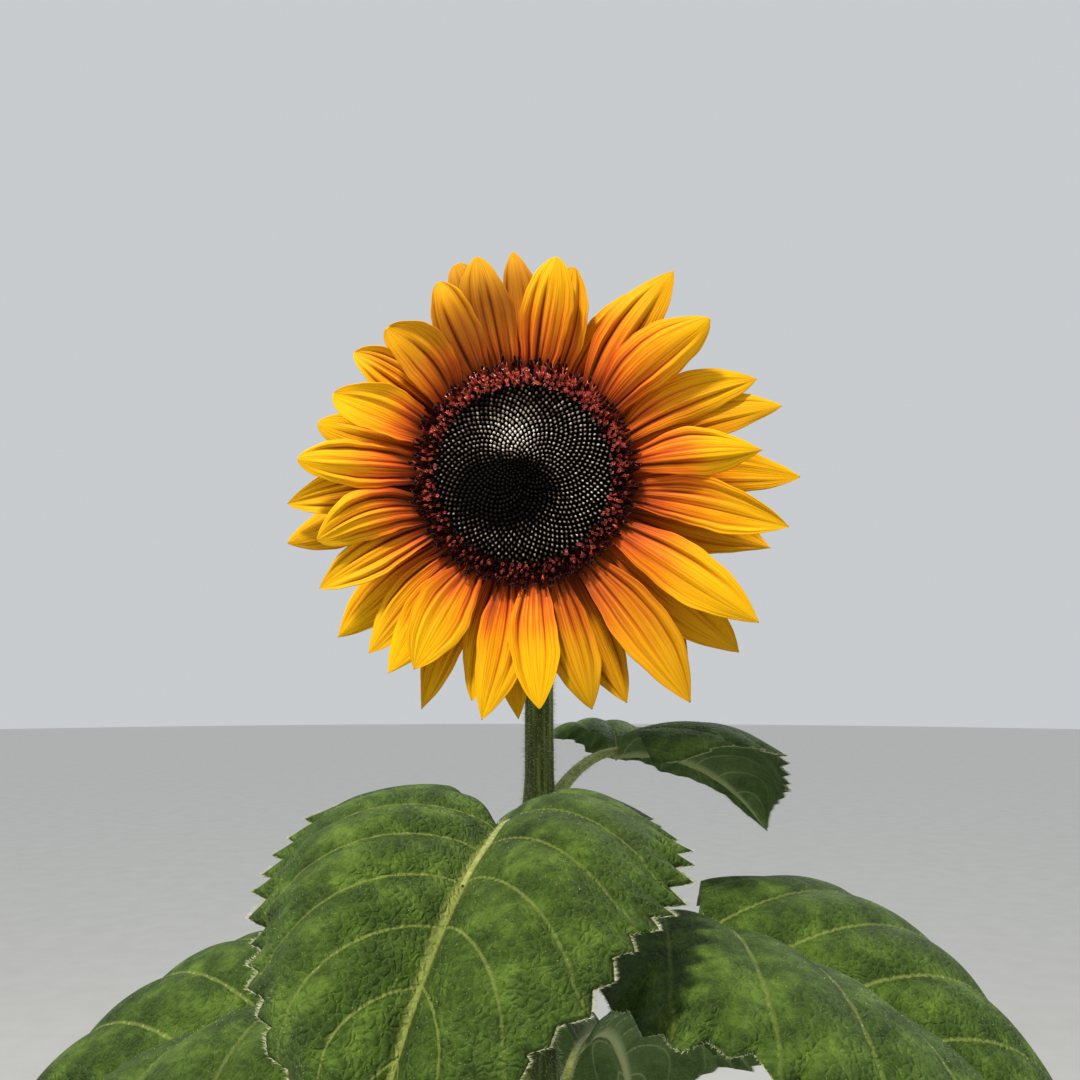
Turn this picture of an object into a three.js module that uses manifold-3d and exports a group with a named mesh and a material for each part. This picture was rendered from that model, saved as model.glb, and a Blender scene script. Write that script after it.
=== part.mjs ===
// A whole sunflower plant in bloom, rooted in level ground.
//
// One hairy stalk rises from the ground, carries thirteen toothed leaves in a golden-angle spiral,
// bends over at its neck and holds one large bloom: a dark disc inside a ring of open tube
// florets, forty-one ray florets in four rows, and a collar of green bracts round the back.
//
// Millimetres, +Z up. The origin is the middle of the flat cut under the stalk, and the bloom
// faces -Y. The plant is an assembly of separate closed solids that meet 0.3 mm clear.

import * as THREE from "three";
import { mergeVertices } from "three/addons/utils/BufferGeometryUtils.js";
import Module from "manifold-3d";

const wasm = await Module();
wasm.setup();

// ---------------------------------------------------------------- driving dimensions

const SEAM = 0.3; // clear distance between two pieces that touch on the plant
const GOLDEN_ANGLE = 137.5; // degrees from one leaf to the next round the stalk

const stalk = {
  height: 1480, // from the ground to where the neck starts to bend
  footRadius: 14.2, // above the root flare
  topRadius: 7.3,
  flare: 6.5, // what the root flare adds to the radius at the ground
  flareHeight: 26, // height over which the flare dies away
  nodeSwelling: 1.1, // how far the stalk swells where a leaf stands
  nodeReach: 13, // half the height of that swelling
  sway: 9, // how far the stalk wanders sideways on its way up
  sides: 12,
};

const bloom = {
  centre: new THREE.Vector3(-6.6, -75, 1560), // on the bloom's axis, at the roots of the rays
  nod: 7, // degrees that the face looks down
  turn: -5, // degrees that the face turns towards -X
};

const disc = { radius: 40, back: -2, edge: 7, dome: 17 };
const ring = { inner: disc.radius + SEAM, wall: 47, lip: 52, lipHeight: 12, crest: 14.5, teeth: 30 };
const receptacle = { rim: 46.7, rimHeight: 5, back: -26, neckRadius: 9, sides: 36 };
const collar = { bracts: 26, inner: 46.2, notch: 52, tip: 78, backTilt: 11, thickness: 1.6 };

const ray = {
  rootRadius: 47.5, // distance of a ray's root from the bloom's axis
  thickness: 1.2,
  cup: 0.3, // how far the edges rise, as a share of the half width
  rows: 6,
};

// The four rows of rays, from front to back. Each row has a height for its roots, the pitch at
// which its rays leave the bloom and the pitch at their tips, in degrees above the face, and then
// its rays: the clock angle of each (0 is up, clockwise seen from the front), how far its tip
// stands from the axis, and half its greatest width.
const RAY_ROWS = [
  {
    root: 3.4, leave: 33, end: -8,
    rays: [[9.7, 99, 11.5], [52.3, 106, 13], [86, 107, 10.5], [123.4, 123.5, 12], [176.1, 106, 11],
      [209.1, 101, 13], [252.5, 98, 11.5], [274.1, 102, 10.5], [293.4, 94, 11], [318, 90, 11.5],
      [336.9, 96, 10]],
  },
  {
    root: 1.0, leave: 25, end: -10,
    rays: [[14.4, 98, 10], [37.8, 113, 11.5], [69, 113.5, 10.5], [102.8, 120, 11], [144.5, 126.5, 12],
      [164.2, 111, 11.5], [189.7, 112.5, 11], [214.4, 109.5, 11], [241.2, 107, 10], [306.4, 98, 10],
      [348.4, 103.5, 11.5]],
  },
  {
    root: -1.4, leave: 17, end: -10,
    rays: [[76.5, 120, 10], [91.8, 124.5, 10], [130.5, 126.5, 12.5], [193.6, 106.5, 10],
      [221.4, 108.5, 10], [263.8, 111.5, 10.5], [284.9, 102, 9.5], [324.7, 87, 10], [342.8, 106, 10]],
  },
  {
    root: -3.8, leave: 9, end: -10,
    rays: [[32.8, 100.5, 10], [60.9, 88, 10], [107.6, 117, 12], [139.4, 114, 11], [156.5, 115, 10.5],
      [182.3, 113.5, 9], [204.8, 120, 8.5], [230.3, 117.5, 12], [255.1, 117, 11.5], [357.2, 107.5, 9]],
  },
];

const leaf = {
  count: 13,
  firstTurn: 122, // degrees from the bloom's side (-Y) towards +X at which the top leaf stands
  stray: 12, // degrees by which a leaf may stand off the spiral
  topHeight: 1403,
  firstGap: 24, // distance down to the second leaf; each next gap is gapGrowth times the last
  gapGrowth: 1.205,
  shortest: 118, // blade length, with none of the swell
  swell: 144, // what the longest blade, halfway down, has over that
  slenderness: 0.5, // half width over length
  lobe: 0.1, // how far the heart-shaped base reaches back, over the length
  tipStart: 0.7, // share of the length from which the blade draws out into its tip
  arch: 0.98, // how far a half comes down again at its margin: at 1 it is as low as the midrib
  teeth: 6, // teeth along one margin
  toothDepth: 0.09,
  toothPoint: 0.72, // where a tooth's point stands, as a share of its length
  thickness: 0.0136, // over the blade's length, so a hundredth of the whole leaf's
  petiole: 0.36, // petiole length over blade length
  midrib: 0.3, // how far the petiole runs on under the blade, over the blade's length
  petioleRadius: 3.5,
  petioleSides: 6,
};

const rad = THREE.MathUtils.degToRad;

// A repeatable variation from -1 to 1 for piece number k; each salt gives its own series.
function vary(k, salt) {
  const scattered = 43758.5453 * Math.sin(12.9898 * (k + 1) + 78.233 * salt);
  return 2 * (scattered - Math.floor(scattered)) - 1;
}

// ---------------------------------------------------------------- materials

const colours = {
  stalk: [0x5f7a34, 0.75],
  leaf: [0x3f6d2c, 0.7],
  ray: [0xf5a90c, 0.6],
  disc: [0x1c120d, 0.8],
  florets: [0x4a1612, 0.8],
  bract: [0x4c7a31, 0.7],
};

function material(name) {
  const [color, roughness] = colours[name];
  return new THREE.MeshStandardMaterial({ color, roughness, metalness: 0 });
}

// ---------------------------------------------------------------- closed surfaces from rings

// A closed body from rings of points that all have the same count: each ring is joined to the
// next, and the two ends are closed by fans round their middles, or joined up if loop is true.
function ringsToGeometry(rings, loop = false) {
  const count = rings[0].length;
  const points = rings.flat();
  const triangles = [];
  const bands = loop ? rings.length : rings.length - 1;
  for (let i = 0; i < bands; i++) {
    const here = i * count;
    const next = ((i + 1) % rings.length) * count;
    for (let j = 0; j < count; j++) {
      const k = (j + 1) % count;
      triangles.push(here + j, here + k, next + k, here + j, next + k, next + j);
    }
  }
  if (!loop) {
    const last = (rings.length - 1) * count;
    const ends = [[rings[0], 0, true], [rings[rings.length - 1], last, false]];
    for (const [end, start, first] of ends) {
      const middle = points.length;
      const centre = end.reduce((sum, p) => sum.add(p), new THREE.Vector3()).divideScalar(count);
      points.push(centre);
      for (let j = 0; j < count; j++) {
        const a = start + j;
        const b = start + ((j + 1) % count);
        triangles.push(...(first ? [middle, b, a] : [middle, a, b]));
      }
    }
  }
  return new THREE.BufferGeometry().setFromPoints(points).setIndex(triangles);
}

// A limb of round section: rings of the given radius square to the curve, with closed ends.
// The curve stays in one upright plane, and side is the level direction square to that plane.
function limbGeometry(curve, side, radiusAt, steps, sides) {
  const rings = [];
  for (let i = 0; i <= steps; i++) {
    const t = i / steps;
    const centre = curve.getPoint(t);
    const up = new THREE.Vector3().crossVectors(side, curve.getTangent(t)).normalize();
    const ringPoints = [];
    for (let j = 0; j < sides; j++) {
      const angle = (2 * Math.PI * j) / sides;
      const offset = side.clone().multiplyScalar(Math.cos(angle)).addScaledVector(up, -Math.sin(angle));
      ringPoints.push(centre.clone().addScaledVector(offset, radiusAt(t)));
    }
    rings.push(ringPoints);
  }
  return ringsToGeometry(rings);
}

// A thin sheet: surface(u, v) gives its middle surface for u from 0 to 1 along the sheet and v
// from -1 to 1 across it, and the sheet is thickened by half its thickness to each side.
function sheetGeometry(surface, stations, columns, thickness) {
  const step = 0.01;
  const rings = stations.map((u) => {
    const face = [];
    const back = [];
    for (let j = 0; j < columns.length; j++) {
      const v = columns[j];
      const along = surface(Math.min(u + step, 1), v).sub(surface(Math.max(u - step, 0), v));
      const across = surface(u, v + step).sub(surface(u, v - step));
      const normal = new THREE.Vector3().crossVectors(across, along).normalize();
      const p = surface(u, v);
      face.push(p.clone().addScaledVector(normal, thickness / 2));
      back.unshift(p.clone().addScaledVector(normal, -thickness / 2));
    }
    return [...face, ...back];
  });
  return ringsToGeometry(rings);
}

// Evenly spaced values, both ends included.
const range = (count, from, to) =>
  Array.from({ length: count }, (_, i) => from + ((to - from) * i) / (count - 1));

// ---------------------------------------------------------------- joining solids

function toManifold(geometry) {
  const bare = new THREE.BufferGeometry()
    .setAttribute("position", geometry.getAttribute("position"))
    .setIndex(geometry.index);
  const merged = mergeVertices(bare, 1e-3);
  return new wasm.Manifold(new wasm.Mesh({
    numProp: 3,
    vertProperties: merged.attributes.position.array,
    triVerts: new Uint32Array(merged.index.array),
  }));
}

function toGeometry(solid) {
  const made = solid.getMesh();
  return new THREE.BufferGeometry()
    .setAttribute("position", new THREE.BufferAttribute(made.vertProperties, 3))
    .setIndex(new THREE.BufferAttribute(made.triVerts, 1));
}

function piece(name, geometry, materialName) {
  const mesh = new THREE.Mesh(geometry, material(materialName));
  mesh.name = name;
  return mesh;
}

// ---------------------------------------------------------------- stalk and neck

// Heights at which the leaves stand, from the top one down.
const leafHeights = Array.from(
  { length: leaf.count },
  (_, k) => leaf.topHeight - (leaf.firstGap * (leaf.gapGrowth ** k - 1)) / (leaf.gapGrowth - 1),
);

// The stalk's middle at a height: it starts straight up, and wanders a little to each side.
function stalkCentre(z) {
  const t = z / stalk.height;
  const x = stalk.sway * Math.sin(Math.PI * t) ** 2 * Math.cos(2.2 * Math.PI * t);
  const y = stalk.sway * 0.7 * Math.sin(Math.PI * t) ** 2;
  return new THREE.Vector3(x, y, z);
}

// The stalk's radius at a height: an even taper, the root flare, and a swelling at each leaf.
function stalkRadius(z) {
  const taper = THREE.MathUtils.lerp(stalk.footRadius, stalk.topRadius, z / stalk.height);
  const flare = stalk.flare * Math.exp(-z / stalk.flareHeight);
  const nearest = Math.min(...leafHeights.map((h) => Math.abs(z - h)));
  const swelling = stalk.nodeSwelling * Math.max(0, 1 - nearest / stalk.nodeReach);
  return taper + flare + swelling;
}

function makeStalk() {
  const heights = new Set([0, 8, 20, 40, 75, 130, 210, 290, stalk.height]);
  for (const h of leafHeights) {
    heights.add(h - stalk.nodeReach);
    heights.add(h);
    heights.add(h + stalk.nodeReach);
  }
  const rings = [...heights].sort((a, b) => a - b).map((z) => {
    const centre = stalkCentre(z);
    const radius = stalkRadius(z);
    return Array.from({ length: stalk.sides }, (_, j) => {
      const angle = (2 * Math.PI * j) / stalk.sides;
      return new THREE.Vector3(
        centre.x + radius * Math.cos(angle),
        centre.y + radius * Math.sin(angle),
        z,
      );
    });
  });
  return piece("stalk", ringsToGeometry(rings), "stalk");
}

// The bloom's own frame: +Z out of its face, +Y up and +X to the right seen from the front.
const bloomGroup = new THREE.Group();
bloomGroup.position.copy(bloom.centre);
bloomGroup.rotation.set(rad(90 + bloom.nod), 0, rad(bloom.turn), "ZXY");
bloomGroup.updateMatrixWorld(true);

// The neck leaves the stalk upwards and bends over until it meets the back of the bloom square.
function makeNeck() {
  const facing = new THREE.Vector3(0, 0, 1).transformDirection(bloomGroup.matrixWorld);
  const start = stalkCentre(stalk.height).add(new THREE.Vector3(0, 0, SEAM));
  const end = bloom.centre.clone().addScaledVector(facing, receptacle.back - SEAM);
  const curve = new THREE.CubicBezierCurve3(
    start,
    start.clone().add(new THREE.Vector3(0, 0, 62)),
    end.clone().addScaledVector(facing, -38),
    end,
  );
  const side = new THREE.Vector3(facing.y, -facing.x, 0).normalize();
  const radiusAt = (t) => THREE.MathUtils.lerp(stalk.topRadius, receptacle.neckRadius - 0.4, t * t);
  return piece("neck", limbGeometry(curve, side.negate(), radiusAt, 12, stalk.sides), "stalk");
}

// ---------------------------------------------------------------- the heart of the bloom

// A round body from a closed profile of [radius, height] points, turned about the local +Z axis.
function turned(profile, sides) {
  const points = profile.map(([r, z]) => new THREE.Vector2(r, z));
  return new THREE.LatheGeometry(points, sides).rotateX(Math.PI / 2);
}

function makeReceptacle() {
  const { rim, rimHeight, back, neckRadius, sides } = receptacle;
  const front = disc.back - SEAM;
  const profile = [
    [0, back], [neckRadius, back], [neckRadius + 7, back + 3.5], [rim - 17, back + 9],
    [rim - 5, front - rimHeight - 3], [rim, front - rimHeight], [rim, front], [0, front],
  ];
  return piece("receptacle", turned(profile, sides), "bract");
}

// The field of closed florets: a rounded edge, and a blunt cone in the middle.
function makeDisc() {
  const { radius, back, edge, dome } = disc;
  const profile = [[0, back], [radius, back], [radius, edge]];
  for (const share of [0.9, 0.78, 0.64, 0.5, 0.36, 0.24, 0.12, 0]) {
    const rise = Math.max(0, 1 - share / 0.86) ** 1.35;
    const shoulder = edge + 2 * Math.sqrt(1 - share ** 2);
    profile.push([radius * share, shoulder + (dome - edge - 2) * rise]);
  }
  return piece("seed_disc", turned(profile, 36), "disc");
}

// The ring of open tube florets: it leans out over the roots of the rays, and its crest is toothed.
function makeFloretRing() {
  const { inner, wall, lip, lipHeight, crest, teeth } = ring;
  const segments = 2 * teeth;
  const rings = Array.from({ length: segments }, (_, i) => {
    const angle = (2 * Math.PI * i) / segments;
    const tooth = i % 2 ? 1 : -1;
    const profile = [
      [inner, disc.back], [wall - SEAM, disc.back], [wall - SEAM, 6.5],
      [lip + 1.2 * tooth, lipHeight + tooth], [lip - 3.5 + tooth, crest + 1.6 * tooth],
      [inner + 2.5, lipHeight - 0.5], [inner, disc.edge + 1],
    ];
    return profile.map(([r, z]) => new THREE.Vector3(r * Math.cos(angle), r * Math.sin(angle), z));
  });
  return piece("floret_ring", ringsToGeometry(rings.reverse(), true), "florets");
}

// The collar of pointed bracts behind the rays, bent back from the face, long and short by turns.
function makeCollar() {
  const { bracts, inner, notch, tip, backTilt, thickness } = collar;
  const height = (r) => disc.back - 4.6 - (r - inner) * Math.tan(rad(backTilt));
  const segments = 4 * bracts;
  const rings = Array.from({ length: segments }, (_, i) => {
    const angle = (2 * Math.PI * i) / segments;
    const bract = Math.floor(i / 4);
    const long = tip - (bract % 2) * 9 + 3 * vary(bract, 1);
    const outline = [notch, notch + 0.62 * (long - notch), long, notch + 0.62 * (long - notch)];
    const edge = outline[i % 4];
    const root = receptacle.rim + SEAM;
    const section = [
      [root, height(root) - thickness], [edge, height(edge) - 0.6 * thickness],
      [edge, height(edge)], [root, height(root)],
    ];
    return section.map(([r, z]) => new THREE.Vector3(r * Math.cos(angle), r * Math.sin(angle), z));
  });
  return piece("bract_collar", ringsToGeometry(rings.reverse(), true), "bract");
}

// ---------------------------------------------------------------- ray florets

// Half the width of a ray at u, as a share of its widest: a narrow claw, widest past the middle,
// and a pointed tip that keeps a sliver of width so that its end stays a clean edge.
function rayOutline(u) {
  return Math.max(0.045, Math.sin(Math.PI * (0.12 + 0.88 * u ** 1.25)) ** 0.85);
}

// The middle surface of a ray. Its spine is an arc that starts at the root and whose pitch goes
// evenly from row.leave to row.end, as long as brings its tip to the stated reach. Its edges are
// cupped towards the front, with two shallow furrows along it.
function raySurface(row, number, [clock, reach, halfWidth]) {
  const leave = rad(row.leave + 1.5 * vary(number, 2));
  const end = rad(row.end + 6 * vary(number, 3));
  const bend = end - leave;
  const length = ((reach - ray.rootRadius) * bend) / (Math.sin(end) - Math.sin(leave));
  const angle = rad(clock);
  const outward = new THREE.Vector3(Math.sin(angle), Math.cos(angle), 0);
  const side = new THREE.Vector3(Math.cos(angle), -Math.sin(angle), 0);
  return (u, v) => {
    const pitch = leave + bend * u;
    const out = (length * (Math.sin(pitch) - Math.sin(leave))) / bend;
    const rise = (length * (Math.cos(leave) - Math.cos(pitch))) / bend;
    const half = halfWidth * rayOutline(u);
    const lift = ray.cup * half * (v * v - 0.3);
    return new THREE.Vector3(0, 0, row.root + rise)
      .addScaledVector(outward, ray.rootRadius + out)
      .addScaledVector(side, half * v)
      .addScaledVector(outward, -Math.sin(pitch) * lift)
      .add(new THREE.Vector3(0, 0, Math.cos(pitch) * lift));
  };
}

function makeRays() {
  const all = RAY_ROWS.flatMap((row) => row.rays.map((measures) => ({ row, measures })));
  all.sort((a, b) => a.measures[0] - b.measures[0]);
  return all.map(({ row, measures }, i) => {
    const surface = raySurface(row, i, measures);
    const stations = range(ray.rows + 1, 0, 1).map((t) => t ** 0.85);
    const sheet = sheetGeometry(surface, stations, [-1, -0.4, 0.4, 1], ray.thickness);
    return piece(`ray_${String(i + 1).padStart(2, "0")}`, sheet, "ray");
  });
}

// ---------------------------------------------------------------- leaves

// How much a leaf has narrowed and flattened towards its tip: 1 up to the last third, 0 at the tip.
const leafTaper = (u) => 1 - THREE.MathUtils.smoothstep(u, leaf.tipStart, 1);

// Half the width of a leaf at u, as a share of its widest: broad near the base, drawn out at the tip.
const leafOutline = (u) =>
  Math.max(0.02, Math.sin(Math.PI * (0.2 + 0.8 * u ** 0.75))) * (0.6 + 0.4 * leafTaper(u));

// One leaf's measures: where it stands, which way it points, and how it bends.
function leafPlan(k) {
  const height = leafHeights[k];
  const turn = rad(leaf.firstTurn - GOLDEN_ANGLE * k + leaf.stray * vary(k, 4));
  const length = leaf.shortest + leaf.swell * Math.sin((Math.PI * (k + 1)) / (leaf.count + 1));
  return {
    length,
    half: length * leaf.slenderness * (1 + 0.06 * vary(k, 5)),
    foot: stalkCentre(height),
    start: stalkRadius(height) + SEAM,
    outward: new THREE.Vector3(Math.sin(turn), -Math.cos(turn), 0),
    side: new THREE.Vector3(Math.cos(turn), Math.sin(turn), 0),
    rise: rad(50 + 5 * vary(k, 6)), // pitch where the petiole leaves the stalk
    shoulder: rad(-2 - 6 * vary(k, 7)), // pitch where the blade starts
    droop: rad(-54 - 1.6 * k + 7 * vary(k, 8)), // pitch at the tip
    petiole: length * leaf.petiole,
    fold: 0.87 + 0.12 * vary(k, 9),
  };
}

// A point on an arc in the leaf's upright plane, at a distance along it, and the pitch there.
function arcPoint(origin, outward, from, to, length, distance) {
  const bend = (to - from) / length;
  const pitch = from + bend * distance;
  const out = (Math.sin(pitch) - Math.sin(from)) / bend;
  const rise = (Math.cos(from) - Math.cos(pitch)) / bend;
  const point = origin.clone().addScaledVector(outward, out);
  point.z += rise;
  return { point, pitch };
}

class PetioleCurve extends THREE.Curve {
  constructor(plan, overrun) {
    super();
    this.plan = plan;
    this.total = plan.petiole + overrun;
  }

  getPoint(t) {
    const { foot, start, outward, rise, shoulder, droop, petiole, length } = this.plan;
    const origin = foot.clone().addScaledVector(outward, start);
    const distance = t * this.total;
    const base = arcPoint(origin, outward, rise, shoulder, petiole, Math.min(distance, petiole)).point;
    if (distance <= petiole) return base;
    return arcPoint(base, outward, shoulder, droop, length, distance - petiole).point;
  }
}

// The blade's middle surface: the midrib is an arc that goes on from the petiole. The halves rise
// from it in a fold and then arch over, the margin is toothed and waves a little, and the base
// sweeps back into two lobes.
function leafSurface(plan, k, base) {
  const { outward, side, length, half, shoulder, droop, fold } = plan;
  return (u, v) => {
    const spread = Math.abs(v);
    const tooth = toothAt(u);
    const width = half * leafOutline(u) * (1 + leaf.toothDepth * tooth * spread ** 3);
    const back = leaf.lobe * length * spread ** 1.4 * (1 - u) ** 3;
    const { point, pitch } = arcPoint(base, outward, shoulder, droop, length, length * u - back);
    const wave = 0.05 * half * Math.sin(9 * u + 1.6 * k + v) * spread ** 2;
    const fullness = 0.35 * leafTaper(u) + 0.65 * leafOutline(u);
    const lift = half * fullness * fold * (spread - leaf.arch * spread ** 2) + wave * leafTaper(u);
    return point
      .addScaledVector(side, width * v)
      .addScaledVector(outward, -Math.sin(pitch) * lift)
      .add(new THREE.Vector3(0, 0, Math.cos(pitch) * lift));
  };
}

// The margin's teeth: 1 at a tooth's point, -1 in the notch before it, none at base and tip.
function toothAt(u) {
  const phase = (u * leaf.teeth) % 1;
  const point = leaf.toothPoint;
  const fade = Math.min(1, 6 * u, 5 * (1 - u));
  return fade * (phase < point ? -1 + (2 * phase) / point : 1 - (2 * (phase - point)) / (1 - point));
}

function makeLeaf(k) {
  const plan = leafPlan(k);
  const curve = new PetioleCurve(plan, plan.length * leaf.midrib);
  const base = curve.getPoint(plan.petiole / curve.total);
  const stations = [0];
  for (let i = 0; i < leaf.teeth; i++) {
    stations.push((i + leaf.toothPoint) / leaf.teeth, (i + 1) / leaf.teeth);
  }
  stations[stations.length - 1] = 1;
  const blade = sheetGeometry(
    leafSurface(plan, k, base), stations, [-1, -0.5, 0, 0.5, 1], leaf.thickness * plan.length,
  );
  const radiusAt = (t) => leaf.petioleRadius * (1 - 0.62 * t);
  const stem = limbGeometry(curve, plan.side, radiusAt, 7, leaf.petioleSides);
  const position = stem.getAttribute("position");
  // The stem's first ring is slid along the petiole into the upright plane at the stalk's skin.
  const slide = plan.outward.clone().multiplyScalar(Math.cos(plan.rise));
  slide.z = Math.sin(plan.rise);
  for (let i = 0; i < leaf.petioleSides; i++) {
    const p = new THREE.Vector3().fromBufferAttribute(position, i);
    const short = plan.start - p.clone().sub(plan.foot).dot(plan.outward);
    p.addScaledVector(slide, short / Math.cos(plan.rise));
    position.setXYZ(i, p.x, p.y, p.z);
  }
  const whole = toManifold(blade).add(toManifold(stem));
  return piece(`leaf_${String(k + 1).padStart(2, "0")}`, toGeometry(whole), "leaf");
}

// ---------------------------------------------------------------- the plant

const plant = new THREE.Group();
plant.name = "sunflower_plant";
plant.add(makeStalk(), makeNeck());
bloomGroup.add(makeReceptacle(), makeDisc(), makeFloretRing(), makeCollar(), ...makeRays());
plant.add(bloomGroup);
for (let k = 0; k < leaf.count; k++) plant.add(makeLeaf(k));

export default plant;
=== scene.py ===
# %% [markdown]
# # A sunflower plant in bloom
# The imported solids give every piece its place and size. This script dresses them: it works out finer
# surfaces with numpy from the same few numbers that shape the solids, gives them plant-tissue
# materials made of nodes, and adds what a solid is too coarse for, such as hairs, florets and veins.
# All shapes are worked out in millimetres and become metres when they are put into a mesh.

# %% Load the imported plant
import math
import bpy
import numpy as np
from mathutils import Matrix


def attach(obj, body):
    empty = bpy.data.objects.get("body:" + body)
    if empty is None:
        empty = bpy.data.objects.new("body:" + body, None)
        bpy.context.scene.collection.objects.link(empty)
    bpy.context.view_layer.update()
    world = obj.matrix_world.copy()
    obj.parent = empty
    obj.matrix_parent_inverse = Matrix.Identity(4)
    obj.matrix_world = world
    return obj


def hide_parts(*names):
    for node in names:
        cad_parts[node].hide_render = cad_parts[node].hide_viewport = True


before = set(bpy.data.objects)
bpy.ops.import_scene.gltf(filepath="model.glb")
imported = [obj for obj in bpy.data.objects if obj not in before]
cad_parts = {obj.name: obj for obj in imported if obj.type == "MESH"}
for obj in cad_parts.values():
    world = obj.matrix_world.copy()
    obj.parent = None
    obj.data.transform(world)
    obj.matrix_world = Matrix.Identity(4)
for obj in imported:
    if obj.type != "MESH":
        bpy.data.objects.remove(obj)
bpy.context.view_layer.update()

MM = 0.001

# %% [markdown]
# ## Camera
# The view is from just below the bloom, close to it, looking up by nine degrees, as someone sees it
# who stands in front of the plant and holds the camera at the height of their eyes. A camera turned
# up that far keeps the stalk upright in the middle and shows the bloom's face a little from below.

# %% Set the camera
LOOKING_UP = 9


def in_scene(name, data):
    """A new object with the given data, put in the scene."""
    item = bpy.data.objects.new(name, data)
    bpy.context.scene.collection.objects.link(item)
    return item


camera_data = bpy.data.cameras.new("camera")
camera = in_scene("camera", camera_data)
bpy.context.scene.camera = camera
camera_data.sensor_width = 36.0
camera_data.lens = 31.33
camera_data.clip_start = 0.02
camera.location = (0.0005, -0.5018, 1.4618)
camera.rotation_euler = (math.radians(90 + LOOKING_UP), 0, 0)
# The usual view transform turns a full yellow pale
bpy.context.scene.view_settings.view_transform = "Standard"
print("lens", camera_data.lens, "mm at", tuple(camera.location))

# %% [markdown]
# ## Putting arrays into meshes
# Every piece below ends as an array of points and arrays of faces. A grid of points makes one skin,
# two grids make a thin closed sheet such as a petal or a leaf, and many small things are copies of
# one small shape, set on their own axes and joined in one mesh, which keeps the scene light.

# %% Grids and tubes
def grid_faces(rows, columns, wrap=False):
    """Four-cornered faces between neighbours on a grid stored row by row."""
    column = np.arange(columns if wrap else columns - 1)
    here = np.arange(rows - 1)[:, None] * columns
    following = (column + 1) % columns
    corners = [here + column, here + following, here + following + columns, here + column + columns]
    return np.stack(corners, -1).reshape(-1, 4)


def unit(vectors):
    """The same directions with length 1."""
    return vectors / np.linalg.norm(vectors, axis=-1, keepdims=True)


def circle(count):
    """The angles of evenly spaced points on a circle."""
    return 2 * np.pi * np.arange(count) / count


def turned(radius, turn, height):
    """Points at an angle round z, from their radius and height."""
    return np.stack(np.broadcast_arrays(radius * np.cos(turn), radius * np.sin(turn), height), -1)


def around(turn, first, second):
    """Directions at an angle from the first of two axes towards the second."""
    return np.cos(turn)[..., None] * first + np.sin(turn)[..., None] * second


def capped(rings, first, last):
    """A tube's points: those of its rings, then the middle points of its two ends."""
    return np.concatenate([rings.reshape(-1, 3), [first], [last]])


def tube_faces(rows, columns, start=0):
    """A closed tube: the skin between its rings, and a fan over each end's middle point, which
    come after the rings."""
    ring = np.arange(columns)
    following = (ring + 1) % columns
    first, last = rows * columns, (rows - 1) * columns
    fans = [np.stack([np.full(columns, first), following, ring], -1),
            np.stack([np.full(columns, first + 1), ring + last, following + last], -1)]
    return [grid_faces(rows, columns, wrap=True) + start, np.concatenate(fans) + start]


print("a tube of 3 rings of 4 has", sum(len(f) for f in tube_faces(3, 4)), "faces")


# %% From arrays to an object
def make_mesh(name, points, faces, materials, face_material=None, uv=None, values=None):
    """A mesh from points in millimetres and a list of face arrays."""
    mesh = bpy.data.meshes.new(name)
    mesh.vertices.add(len(points))
    mesh.vertices.foreach_set("co", (points * MM).astype(np.float32).ravel())
    corners = np.concatenate([f.ravel() for f in faces]).astype(np.int32)
    sizes = np.concatenate([np.full(len(f), f.shape[1]) for f in faces])
    mesh.loops.add(len(corners))
    mesh.loops.foreach_set("vertex_index", corners)
    mesh.polygons.add(len(sizes))
    mesh.polygons.foreach_set("loop_start", (np.cumsum(sizes) - sizes).astype(np.int32))
    for material in materials:
        mesh.materials.append(material)
    if face_material is not None:
        mesh.polygons.foreach_set("material_index", face_material.astype(np.int32))
    mesh.polygons.foreach_set("use_smooth", np.ones(len(sizes), dtype=bool))
    if uv is not None:
        layer = mesh.uv_layers.new(name="UVMap")
        layer.data.foreach_set("uv", uv[corners].astype(np.float32).ravel())
    for key, value in (values or {}).items():
        mesh.attributes.new(key, "FLOAT", "POINT").data.foreach_set("value", value.astype(np.float32))
    mesh.update(calc_edges=True)
    return mesh


def make_piece(name, *shape, **looks):
    """A mesh of the part, as an object that rides the root."""
    piece = in_scene(name, make_mesh(name, *shape, **looks))
    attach(piece, "root")
    return piece


print("mesh helpers ready")

# %% [markdown]
# ## Node helpers
# Colours are written as the hex values that a screen shows and turned to linear light once. Each
# material is a small object whose methods add a node, set it and link it, so every material below
# reads from top to bottom. Patterns are laid out in the object's own metres.

# %% Helpers for colours and nodes
def colour(code):
    """A hex colour in linear light, with alpha 1."""
    channels = [int(code[i:i + 2], 16) / 255 for i in (1, 3, 5)]
    return tuple(c / 12.92 if c <= 0.04045 else ((c + 0.055) / 1.055) ** 2.4 for c in channels) + (1.0,)


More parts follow.
